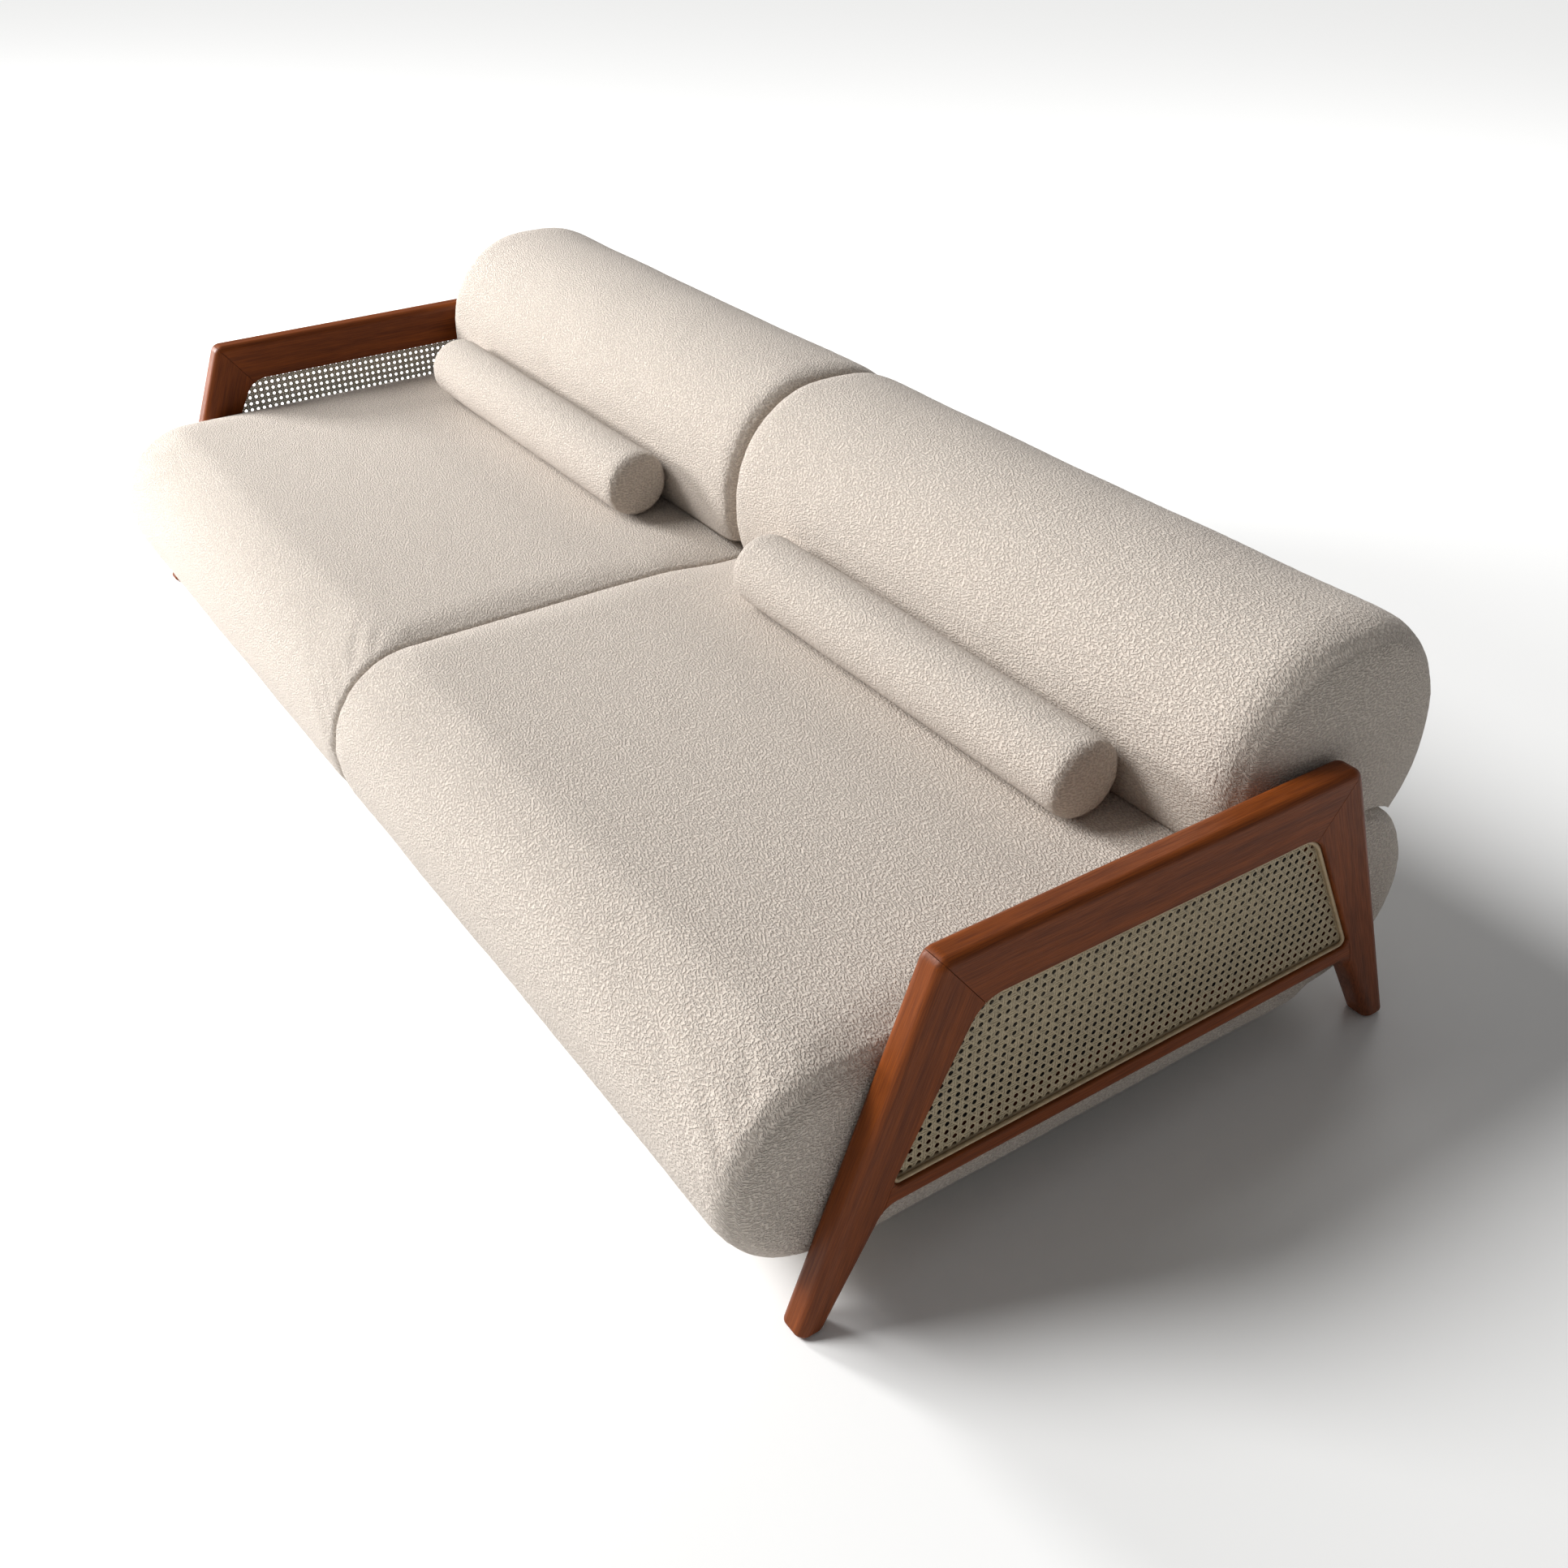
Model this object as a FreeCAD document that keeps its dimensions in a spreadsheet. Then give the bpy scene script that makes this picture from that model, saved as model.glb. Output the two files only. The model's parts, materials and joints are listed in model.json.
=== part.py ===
"""Bench sofa daybed: two timber side frames with cane panels, two seat modules on timber frames,
two roll backrests that lift off on steel posts, and two loose bolsters.

Millimetres.  +X runs along the length, -Y is the front and +Z is up.  The origin is on the floor
under the middle of the object.  Right-hand pieces (+X) are designed and the left ones mirrored.
"""
import FreeCAD, Part
import os
import Sketcher
from FreeCAD import Vector

DIMENSIONS = {
    # side frames
    "frame_outer": 1403.0,
    "frame_thickness": 50.0,
    "foot_outer": 600.0,
    "foot_inner": 553.0,
    "shoulder_outer": 386.0,
    "arm_top": 562.0,
    "window_top": 470.0,
    "window_bottom": 208.0,
    "window_top_half": 316.0,
    "window_bottom_half": 452.5,
    "rail_underside": 173.5,
    "rail_underside_half": 455.8,
    "window_top_radius": 55.0,
    "window_bottom_radius": 12.0,
    "knee_radius": 30.0,
    "shoulder_radius": 24.0,
    "outer_round": 15.0,
    "window_round": 4.0,
    "foot_round": 6.0,
    "joint_knee_half": 472.0,
    "joint_knee_level": 145.0,
    "mitre_reach": 24.0,
    "rail_joint_run": 12.0,
    "rail_joint_rise": 24.0,
    "dowel_radius": 5.0,
    "dowel_length": 60.0,
    "dowel_shift": 9.0,
    "rail_dowel_shift": 6.0,
    "glide_height": 3.0,
    "glide_radius": 11.0,
    # cane
    "cane_recess": 12.0,
    "cane_thickness": 3.0,
    "cane_groove": 8.0,
    "bead_width": 6.5,
    "bead_height": 3.5,
    # seat modules
    "seat_half_depth": 673.0,
    "seat_top": 415.0,
    "seat_underside": 60.0,
    "module_inner": 1.0,
    "module_outer": 1351.5,
    "seat_end_round": 40.0,
    "edge_flat": 0.5,
    "cover_thickness": 2.0,
    "frame_half_depth": 490.0,
    "end_padding": 42.0,
    "inner_padding": 45.0,
    "timber": 28.0,
    "frame_height": 153.0,
    "post_rail_width": 80.0,
    "post_rail_height": 60.0,
    "post_rail_centre": 420.0,
    "webbing_width": 70.0,
    "webbing_thickness": 2.0,
    "webbing_pitch": 140.0,
    "cross_webbing_pitch": 250.0,
    "dust_cover_thickness": 1.5,
    "dust_cover_inset": 20.0,
    # backrests
    "back_inner": 2.0,
    "back_outer": 1350.0,
    "back_front": 192.0,
    "back_rear": 668.0,
    "back_top": 740.0,
    "back_low": 284.0,
    "back_radius": 212.0,
    "back_heel_radius": 212.0,
    "back_end_round": 52.0,
    "back_clearance": 1.0,
    "back_rail_low": 480.0,
    "back_rail_high": 620.0,
    "back_rail_margin": 110.0,
    "upright_pitch": 300.0,
    "post_radius": 10.0,
    "post_spread": 360.0,
    "post_bottom": 300.0,
    "post_top": 500.0,
    "socket_bore": 10.1,
    "socket_radius": 13.0,
    "socket_bottom": 170.0,
    "socket_top": 412.0,
    "socket_relief": 5.0,
    "mouth_gap": 1.5,
    "mouth_depth": 3.0,
    # bolsters
    "bolster_radius": 70.0,
    "bolster_length": 905.0,
    "bolster_axis_depth": 121.0,
    "bolster_axis_level": 486.0,
    "bolster_end_round": 18.0,
    "zip_width": 12.0,
    "zip_length": 760.0,
    # fastenings and centre support
    "bolt_radius": 4.0,
    "bolt_head_radius": 9.0,
    "bolt_head_height": 5.0,
    "bolt_reach": 30.0,
    "bolt_level": 190.5,
    "bolt_spread": 260.0,
    "insert_radius": 7.0,
    "insert_length": 28.0,
    "sleeve_radius": 9.0,
    "plate_length": 190.0,
    "plate_width": 60.0,
    "plate_thickness": 4.0,
    "plate_spread": 330.0,
    "screw_radius": 3.0,
    "screw_head_radius": 6.5,
    "screw_head_height": 3.0,
    "screw_reach": 32.0,
    "screw_spread": 15.0,
    "centre_leg_radius": 20.0,
    # how far a cutting shape stands clear of what it cuts
    "cutter_margin": 10.0,
}

doc = FreeCAD.newDocument("daybed")
sheet = doc.addObject("Spreadsheet::Sheet", "dims")
for row, (alias, value) in enumerate(DIMENSIONS.items(), start=1):
    sheet.set(f"A{row}", alias)
    sheet.set(f"B{row}", str(value))
    sheet.setAlias(f"B{row}", alias)
doc.recompute()


class Size:
    """A length together with the spreadsheet formula that gives it."""

    def __init__(self, value, formula):
        self.value = value
        self.formula = formula

    @staticmethod
    def of(item):
        return item if isinstance(item, Size) else Size(float(item), repr(float(item)))

    def combine(self, other, value, sign):
        return Size(value, f"({self.formula} {sign} {Size.of(other).formula})")

    def __add__(self, other):
        return self.combine(other, self.value + Size.of(other).value, "+")

    def __sub__(self, other):
        return self.combine(other, self.value - Size.of(other).value, "-")

    def __mul__(self, other):
        return self.combine(other, self.value * Size.of(other).value, "*")

    def __truediv__(self, other):
        return self.combine(other, self.value / Size.of(other).value, "/")

    def __neg__(self):
        return Size.of(0.0) - self

    def root(self):
        return Size(self.value ** 0.5, f"sqrt({self.formula})")


size = {alias: Size(value, f"dims.{alias}") for alias, value in DIMENSIONS.items()}
ZERO = Size.of(0.0)
PLANE_ROLES = {"front": "XZ_Plane", "side": "YZ_Plane", "floor": "XY_Plane"}
TOLERANCE = 0.05

frame_inner = size["frame_outer"] - size["frame_thickness"]
foot_level = size["glide_height"]
frame_floor = size["seat_underside"] + size["cover_thickness"]
frame_deck = frame_floor + size["frame_height"]
webbing_top = frame_deck + size["webbing_thickness"] * 2
timber_outer = size["module_outer"] - size["end_padding"]
timber_inner = size["module_inner"] + size["inner_padding"]
seat_middle = (size["module_outer"] + size["module_inner"]) / 2
back_middle = (size["back_outer"] + size["back_inner"]) / 2


# ---------------------------------------------------------------- building blocks

def bind(thing, **sizes):
    """Bind properties of an object to spreadsheet formulas."""
    for name, item in sizes.items():
        thing.setExpression(name, Size.of(item).formula)
    return thing


def origin_plane(body, plane):
    role = PLANE_ROLES[plane]
    return next(item for item in body.Origin.OriginFeatures if item.Role == role)


def new_body(label):
    body = doc.addObject("PartDesign::Body", label)
    body.Label = label
    return body


def new_sketch(body, plane, level):
    """An empty sketch parallel to one of the body's origin planes, at the given level."""
    sketch = body.newObject("Sketcher::SketchObject", body.Name + "_sketch")
    sketch.AttachmentSupport = [(origin_plane(body, plane), "")]
    sketch.MapMode = "FlatFace"
    sketch.setExpression("AttachmentOffset.Base.z", Size.of(level).formula)
    return sketch


def pin_point(sketch, geometry, position, corner):
    """Hold a point of the sketch at a corner given as two sizes."""
    for kind, item in zip(("DistanceX", "DistanceY"), corner):
        item = Size.of(item)
        if item.value == 0.0:
            axis = -2 if kind == "DistanceX" else -1
            sketch.addConstraint(Sketcher.Constraint("PointOnObject", geometry, position, axis))
        else:
            held = Sketcher.Constraint(kind, -1, 1, geometry, position, item.value)
            index = sketch.addConstraint(held)
            sketch.setExpression(f"Constraints[{index}]", item.formula)


def polygon_body(label, plane, level, corners, length):
    """A prism on a closed polygon; returns the body, padded but not yet rounded."""
    body = new_body(label)
    sketch = new_sketch(body, plane, level)
    draw_polygon(sketch, corners)
    return pad(body, sketch, length)


def draw_polygon(sketch, corners):
    """Draw a closed polygon and hold each of its corners."""
    points = [Vector(Size.of(a).value, Size.of(b).value, 0) for a, b in corners]
    count = len(points)
    for index in range(count):
        segment = Part.LineSegment(points[index], points[(index + 1) % count])
        sketch.addGeometry(segment, False)
    for index in range(count):
        joined = Sketcher.Constraint("Coincident", index, 2, (index + 1) % count, 1)
        sketch.addConstraint(joined)
    for index, corner in enumerate(corners):
        pin_point(sketch, index, 1, corner)


def circle_body(label, plane, level, centre, radius, length):
    body = new_body(label)
    sketch = new_sketch(body, plane, level)
    place = Vector(Size.of(centre[0]).value, Size.of(centre[1]).value, 0)
    sketch.addGeometry(Part.Circle(place, Vector(0, 0, 1), Size.of(radius).value), False)
    pin_point(sketch, 0, 3, centre)
    index = sketch.addConstraint(Sketcher.Constraint("Radius", 0, Size.of(radius).value))
    sketch.setExpression(f"Constraints[{index}]", Size.of(radius).formula)
    return pad(body, sketch, length)


def pad(body, sketch, length):
    feature = body.newObject("PartDesign::Pad", body.Name + "_pad")
    feature.Profile = sketch
    bind(feature, Length=length)
    sketch.Visibility = False
    doc.recompute()
    return body


def round_edges(body, radius, wanted):
    """Add a fillet to the edges of the body's tip for which wanted(edge) is true."""
    base = body.Tip
    names = [f"Edge{i}" for i, edge in enumerate(base.Shape.Edges, start=1) if wanted(edge)]
    fillet = body.newObject("PartDesign::Fillet", body.Name + "_fillet")
    fillet.Base = (base, names)
    bind(fillet, Radius=radius)
    doc.recompute()
    return body


def near(first, second):
    return abs(first - second) < TOLERANCE


def across_edge_at(y, z):
    """Picks the edge that runs along X through the given place."""
    y = Size.of(y).value
    z = Size.of(z).value

    def wanted(edge):
        box = edge.BoundBox
        return box.XLength > 1 and near(box.Center.y, y) and near(box.Center.z, z)
    return wanted


def end_edges(*levels):
    """Picks the edges that lie in the planes X = level."""
    values = [Size.of(level).value for level in levels]

    def wanted(edge):
        box = edge.BoundBox
        return box.XLength < TOLERANCE and any(near(box.Center.x, value) for value in values)
    return wanted


def box_part(label, low, high):
    """A Part::Box between two corners given as sizes."""
    block = doc.addObject("Part::Box", label)
    block.Label = label
    spans = [Size.of(b) - a for a, b in zip(low, high)]
    bind(block, Length=spans[0], Width=spans[1], Height=spans[2])
    place(block, low)
    return block


def place(thing, corner):
    for axis, item in zip("xyz", corner):
        thing.setExpression(f"Placement.Base.{axis}", Size.of(item).formula)


def rod_part(label, base, radius, length, direction):
    """A Part::Cylinder from a base point along a direction."""
    rod = doc.addObject("Part::Cylinder", label)
    rod.Label = label
    rod.Placement.Rotation = FreeCAD.Rotation(Vector(0, 0, 1), direction)
    bind(rod, Radius=radius, Height=length)
    place(rod, base)
    return rod


def group(label, pieces):
    """Separate solids that share one node."""
    compound = doc.addObject("Part::Compound", label)
    compound.Label = label
    compound.Links = pieces
    return compound


def cut(label, base, *tools):
    """The base less each tool in turn."""
    for index, tool in enumerate(tools):
        step = doc.addObject("Part::Cut", f"{label}_cut{index}")
        step.Base = base
        step.Tool = tool
        base = step
    base.Label = label
    return base


def common(label, *shapes):
    kept = doc.addObject("Part::MultiCommon", label)
    kept.Label = label
    kept.Shapes = list(shapes)
    return kept


def mirror(label, source):
    """The left-hand twin of a right-hand piece."""
    twin = doc.addObject("Part::Mirroring", label)
    twin.Label = label
    twin.Source = source
    twin.Normal = Vector(1, 0, 0)
    return twin


nodes = []


def keep(*pieces):
    nodes.extend(pieces)


def keep_pair(piece, name):
    """Name the right-hand piece and add its mirrored left-hand twin."""
    piece.Label = "right_" + name
    keep(piece, mirror("left_" + name, piece))


# ---------------------------------------------------------------- fastenings and sockets

def mounting_hardware():
    """Bolts from the seat frames into the side frames, with sleeves and threaded inserts."""
    bolts, sleeves, inserts = [], [], []
    head_face = timber_outer - size["timber"]
    insert_start = frame_inner
    for index, y in enumerate((-size["bolt_spread"], ZERO, size["bolt_spread"])):
        level = size["bolt_level"]
        axis = Vector(1, 0, 0)
        shank = rod_part(f"bolt_shank{index}", (head_face, y, level), size["bolt_radius"],
                         insert_start - head_face + size["bolt_reach"], axis)
        head = rod_part(f"bolt_head{index}", (head_face - size["bolt_head_height"], y, level),
                        size["bolt_head_radius"], size["bolt_head_height"], axis)
        bolt = doc.addObject("Part::MultiFuse", f"bolt{index}")
        bolt.Shapes = [shank, head]
        bolts.append(bolt)
        tube = rod_part(f"sleeve_tube{index}", (timber_outer, y, level), size["sleeve_radius"],
                        frame_inner - timber_outer, axis)
        sleeves.append(cut(f"sleeve{index}", tube, bolt))
        plug = rod_part(f"insert_plug{index}", (insert_start, y, level), size["insert_radius"],
                        size["insert_length"], axis)
        inserts.append(cut(f"insert{index}", plug, bolt))
    return (group("right_bolts", bolts), group("right_sleeves", sleeves),
            group("right_inserts", inserts))


right_bolts, right_sleeves, right_inserts = mounting_hardware()
bolts = group("mounting_bolts", [right_bolts, mirror("left_bolts", right_bolts)])
sleeves = group("spacer_sleeves", [right_sleeves, mirror("left_sleeves", right_sleeves)])
inserts = group("threaded_inserts", [right_inserts, mirror("left_inserts", right_inserts)])
keep(bolts, sleeves, inserts)


# ---------------------------------------------------------------- side frame

def side_blank():
    """The whole side frame as one rounded ring on two legs, before it is cut at its joints."""
    bottom = foot_level
    slope = (size["foot_outer"] - size["shoulder_outer"]) / size["arm_top"]
    foot_out = size["foot_outer"] - slope * bottom
    half = [(foot_out, bottom), (size["shoulder_outer"], size["arm_top"])]
    inside = [(size["rail_underside_half"], size["rail_underside"]), (size["foot_inner"], bottom)]
    corners = half + [(-y, z) for y, z in reversed(half)]
    corners += [(-y, z) for y, z in reversed(inside)] + inside
    body = polygon_body("side_blank", "side", frame_inner, corners, size["frame_thickness"])
    for sign in (1.0, -1.0):
        round_edges(body, size["shoulder_radius"],
                    across_edge_at(size["shoulder_outer"] * sign, size["arm_top"]))
        round_edges(body, size["knee_radius"],
                    across_edge_at(size["rail_underside_half"] * sign, size["rail_underside"]))
    cut_window(body)
    faces = end_edges(frame_inner, size["frame_outer"])
    floor = foot_level.value

    def outline_edge(edge):
        return faces(edge) and not in_window(edge) and edge.BoundBox.ZMax > floor + 1
    round_edges(body, size["outer_round"], outline_edge)
    round_edges(body, size["window_round"], lambda edge: faces(edge) and in_window(edge))
    round_edges(body, size["foot_round"], lambda edge: edge.BoundBox.ZMax < floor + TOLERANCE)
    return body


def in_window(edge):
    """True for an edge on the rim of the cane window."""
    box = edge.BoundBox
    low = size["window_bottom"].value - 1
    high = size["window_top"].value + 1
    wide = size["window_bottom_half"].value + 1
    return box.ZMin > low and box.ZMax < high and abs(box.Center.y) < wide


def window_corners(margin):
    """Corners of the cane window, moved outwards by the margin."""
    lean = ((size["window_bottom_half"] - size["window_top_half"])
            / (size["window_top"] - size["window_bottom"]))
    stretch = (lean * lean + 1.0).root()
    top = (size["window_top_half"] + margin * (stretch - lean), size["window_top"] + margin)
    bottom = (size["window_bottom_half"] + margin * (stretch + lean), size["window_bottom"] - margin)
    return [bottom, top, (-top[0], top[1]), (-bottom[0], bottom[1])]


def round_window(body, margin):
    """Round the four corners of a prism made on window_corners(margin)."""
    radii = ("window_bottom_radius", "window_top_radius", "window_top_radius", "window_bottom_radius")
    for corner, radius in zip(window_corners(margin), radii):
        round_edges(body, size[radius] + margin, across_edge_at(*corner))
    return body


def cut_window(body):
    """Cut the cane window through the side frame and round its corners."""
    sketch = new_sketch(body, "side", frame_inner)
    draw_polygon(sketch, window_corners(ZERO))
    before = body.Shape.Volume
    pocket = body.newObject("PartDesign::Pocket", "window_pocket")
    pocket.Profile = sketch
    pocket.Reversed = True
    bind(pocket, Length=size["frame_thickness"])
    doc.recompute()
    if body.Shape.Volume >= before:
        raise RuntimeError("the cane window was not cut")
    return round_window(body, ZERO)


def window_plate(label, margin, start, thickness):
    """A plate of the window's shape, grown by the margin, from the X level start."""
    body = polygon_body(label, "side", start, window_corners(margin), thickness)
    return round_window(body, margin)


def joint_dowels():
    """Pairs of dowels across each mitre, and one into each leg from the ends of the lower rail."""
    rods = []
    middle = frame_inner + size["frame_thickness"] / 2
    half_length = size["dowel_length"] / 2
    run = size["shoulder_outer"] - size["window_top_half"]
    rise = size["arm_top"] - size["window_top"]
    for side in (1.0, -1.0):
        across = Vector(0, rise.value * side, -run.value).normalize()
        y = (size["window_top_half"] + run / 2) * side - half_length * across.y
        z = size["window_top"] + rise / 2 - half_length * across.z
        for shift in (-size["dowel_shift"], size["dowel_shift"]):
            rods.append(rod_part(f"mitre_dowel{len(rods)}", (middle + shift, y, z),
                                 size["dowel_radius"], size["dowel_length"], across))
        start = (size["window_bottom_half"] - half_length + size["rail_dowel_shift"]) * side
        rods.append(rod_part(f"rail_dowel{len(rods)}", (middle, start, size["bolt_level"]),
                             size["dowel_radius"], size["dowel_length"], Vector(0, side, 0)))
    return group("right_dowels", rods)


right_dowels = joint_dowels()
keep(group("frame_dowels", [right_dowels, mirror("left_dowels", right_dowels)]))


def foot_glides():
    """Nylon glides under the four feet."""
    middle = frame_inner + size["frame_thickness"] / 2
    foot_middle = (size["foot_outer"] + size["foot_inner"]) / 2
    discs = []
    for side in (1.0, -1.0):
        for depth in (1.0, -1.0):
            place_at = (middle * side, foot_middle * depth, ZERO)
            discs.append(rod_part(f"glide{len(discs)}", place_at, size["glide_radius"],
                                  size["glide_height"], Vector(0, 0, 1)))
    return group("foot_glides", discs)


keep(foot_glides())


def side_frame():
    """Two legs mitred to an arm rail, a lower rail between them, and a cane panel with its beads."""
    blank = side_blank()
    cane_start = size["frame_outer"] - size["cane_recess"] - size["cane_thickness"]
    groove = window_plate("cane_blank", size["cane_groove"], cane_start, size["cane_thickness"])
    reach = size["frame_thickness"] + size["cutter_margin"] * 2.0
    start = frame_inner - size["cutter_margin"]
    mitre_rise = size["mitre_reach"]
    mitre_run = (mitre_rise * (size["shoulder_outer"] - size["window_top_half"])
                 / (size["arm_top"] - size["window_top"]))
    arm_low = (size["window_top_half"] - mitre_run, size["window_top"] - mitre_rise)
    arm_high = (size["shoulder_outer"] + mitre_run, size["arm_top"] + mitre_rise)
    arm_zone = polygon_body("arm_zone", "side", start, [
        arm_low, arm_high, (-arm_high[0], arm_high[1]), (-arm_low[0], arm_low[1])], reach)
    half = [(size["joint_knee_half"], size["joint_knee_level"]),
            (size["window_bottom_half"], size["window_bottom"]),
            (size["window_bottom_half"] - size["rail_joint_run"],
             size["window_bottom"] + size["rail_joint_rise"])]
    low_zone = polygon_body("low_zone", "side", start,
                            half + [(-y, z) for y, z in reversed(half)], reach)
    span = size["foot_outer"] + size["cutter_margin"]
    ceiling = size["arm_top"] + size["cutter_margin"]
    front_zone = box_part("front_zone", (start, -span, ZERO), (start + reach, ZERO, ceiling))
    rear_zone = box_part("rear_zone", (start, ZERO, ZERO), (start + reach, span, ceiling))
    fittings = (groove, right_dowels, right_inserts)
    arm = cut("right_arm_rail", common("arm_stock", blank, arm_zone), groove, right_dowels)
    lower = cut("right_lower_rail", common("lower_stock", blank, low_zone), *fittings, right_bolts)
    legs = cut("leg_stock", blank, arm_zone, low_zone, *fittings)
    keep_pair(common("right_front_leg", legs, front_zone), "front_leg")
    keep_pair(common("right_rear_leg", legs, rear_zone), "rear_leg")
    keep_pair(arm, "arm_rail")
    keep_pair(lower, "lower_rail")
    keep_pair(groove, "cane_panel")
    beads = []
    starts = (cane_start + size["cane_thickness"], cane_start - size["bead_height"])
    for index, bead_start in enumerate(starts):
        outer = window_plate(f"bead_outer{index}", ZERO, bead_start, size["bead_height"])
        inner = window_plate(f"bead_inner{index}", -size["bead_width"], bead_start, size["bead_height"])
        beads.append(cut(f"bead{index}", outer, inner))
    keep_pair(group("right_cane_beads", beads), "cane_beads")


side_frame()


# ---------------------------------------------------------------- seat module

def pill(label, x_low, x_high, grow, end_round):
    """A full-round slab: the seat's section grown by a margin, between two X levels."""
    half_depth = size["seat_half_depth"] + grow
    bottom = size["seat_underside"] - grow
    top = size["seat_top"] + grow
    corners = [(half_depth, bottom), (half_depth, top), (-half_depth, top), (-half_depth, bottom)]
    body = polygon_body(label, "side", x_low, corners, Size.of(x_high) - x_low)
    radius = (top - bottom) / 2 - size["edge_flat"]
    for corner in corners:
        round_edges(body, radius, across_edge_at(*corner))
    if end_round is not None:
        round_edges(body, end_round, end_edges(x_low, x_high))
    return body


def back_posts():
    """Steel posts that carry a backrest; they plug into the sockets of the seat."""
    rods = []
    for index, side in enumerate((-1.0, 1.0)):
        base = (back_middle + size["post_spread"] * side, size["post_rail_centre"], size["post_bottom"])
        rods.append(rod_part(f"post{index}", base, size["post_radius"],
                             size["post_top"] - size["post_bottom"], Vector(0, 0, 1)))
    return group("right_back_posts", rods)


def post_sockets():
    """Steel tubes standing on the post rail, each with a bore for one post."""
    tubes = []
    for index, side in enumerate((-1.0, 1.0)):
        base = (back_middle + size["post_spread"] * side, size["post_rail_centre"])
        height = size["socket_top"] - size["socket_bottom"]
        tube = rod_part(f"socket_tube{index}", (*base, size["socket_bottom"]),
                        size["socket_radius"], height, Vector(0, 0, 1))
        bore = rod_part(f"socket_bore{index}", (*base, size["post_bottom"] - size["socket_relief"]),
                        size["socket_bore"],
                        size["socket_top"] - size["post_bottom"] + size["socket_relief"] * 2.0,
                        Vector(0, 0, 1))
        tubes.append(cut(f"socket{index}", tube, bore))
    return group("right_sockets", tubes)


right_posts = back_posts()
right_sockets = post_sockets()
keep(group("post_sockets", [right_sockets, mirror("left_sockets", right_sockets)]))


def centre_hardware():
    """Plates and screws that join the two modules underneath, and the centre legs."""
    plates, screws, legs = [], [], []
    top = size["seat_underside"] - size["dust_cover_thickness"]
    bottom = top - size["plate_thickness"]
    half_length = size["plate_length"] / 2
    half_width = size["plate_width"] / 2
    screw_x = timber_inner + size["timber"] / 2
    for side in (-1.0, 1.0):
        y = size["plate_spread"] * side
        plates.append(box_part(f"plate{len(plates)}", (-half_length, y - half_width, bottom),
                               (half_length, y + half_width, top)))
        for sign_x in (-1.0, 1.0):
            for sign_y in (-1.0, 1.0):
                at = (screw_x * sign_x, y + size["screw_spread"] * sign_y)
                number = len(screws)
                shank = rod_part(f"screw_shank{number}", (*at, bottom), size["screw_radius"],
                                 size["screw_reach"] + size["plate_thickness"], Vector(0, 0, 1))
                head = rod_part(f"screw_head{number}", (*at, bottom - size["screw_head_height"]),
                                size["screw_head_radius"], size["screw_head_height"], Vector(0, 0, 1))
                screw = doc.addObject("Part::MultiFuse", f"screw{number}")
                screw.Shapes = [shank, head]
                screws.append(screw)
        legs.append(rod_part(f"centre_leg{len(legs)}", (ZERO, y, ZERO), size["centre_leg_radius"],
                             bottom, Vector(0, 0, 1)))
    screw_group = group("joining_screws", screws)
    plate_group = cut("joining_plates", group("plate_stock", plates), screw_group)
    keep(plate_group, screw_group, group("centre_legs", legs))
    return screw_group


joining_screws = centre_hardware()


def seat_timber():
    """Front, rear and end rails on edge, and a flat rail that carries the sockets."""
    front = -size["frame_half_depth"]
    rear = size["frame_half_depth"]
    thick = size["timber"]
    front_rail = box_part("front_rail", (timber_inner, front, frame_floor),
                          (timber_outer, front + thick, frame_deck))
    rear_rail = box_part("rear_rail", (timber_inner, rear - thick, frame_floor),
                         (timber_outer, rear, frame_deck))
    ends = []
    for low, high in ((timber_inner, timber_inner + thick), (timber_outer - thick, timber_outer)):
        ends.append(box_part(f"end_rail{len(ends)}", (low, front + thick, frame_floor),
                             (high, rear - thick, frame_deck)))
    middle = size["post_rail_centre"]
    half = size["post_rail_width"] / 2
    post_rail = box_part("post_rail", (timber_inner + thick, middle - half,
                                       frame_deck - size["post_rail_height"]),
                         (timber_outer - thick, middle + half, frame_deck))
    keep_pair(front_rail, "seat_front_rail")
    keep_pair(rear_rail, "seat_rear_rail")
    keep_pair(cut("right_end_rails", group("end_rail_pair", ends), right_bolts, joining_screws),
              "seat_end_rails")
    keep_pair(cut("right_post_rail", post_rail, right_sockets), "seat_post_rail")


def seat_webbing():
    """Elastic straps from front to rear, with three straps across them."""
    straps = []
    half = size["webbing_width"] / 2
    reach = size["frame_half_depth"] - size["timber"] / 2
    for step in range(-4, 5):
        x = seat_middle + size["webbing_pitch"] * float(step)
        straps.append(box_part(f"strap{len(straps)}", (x - half, -reach, frame_deck),
                               (x + half, reach, frame_deck + size["webbing_thickness"])))
    for step in (-1.0, 0.0, 1.0):
        y = size["cross_webbing_pitch"] * step - size["webbing_width"]
        straps.append(box_part(f"strap{len(straps)}",
                               (timber_inner, y - half, frame_deck + size["webbing_thickness"]),
                               (timber_outer, y + half, webbing_top)))
    return cut("right_webbing", group("strap_stock", straps), right_sockets)


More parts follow.
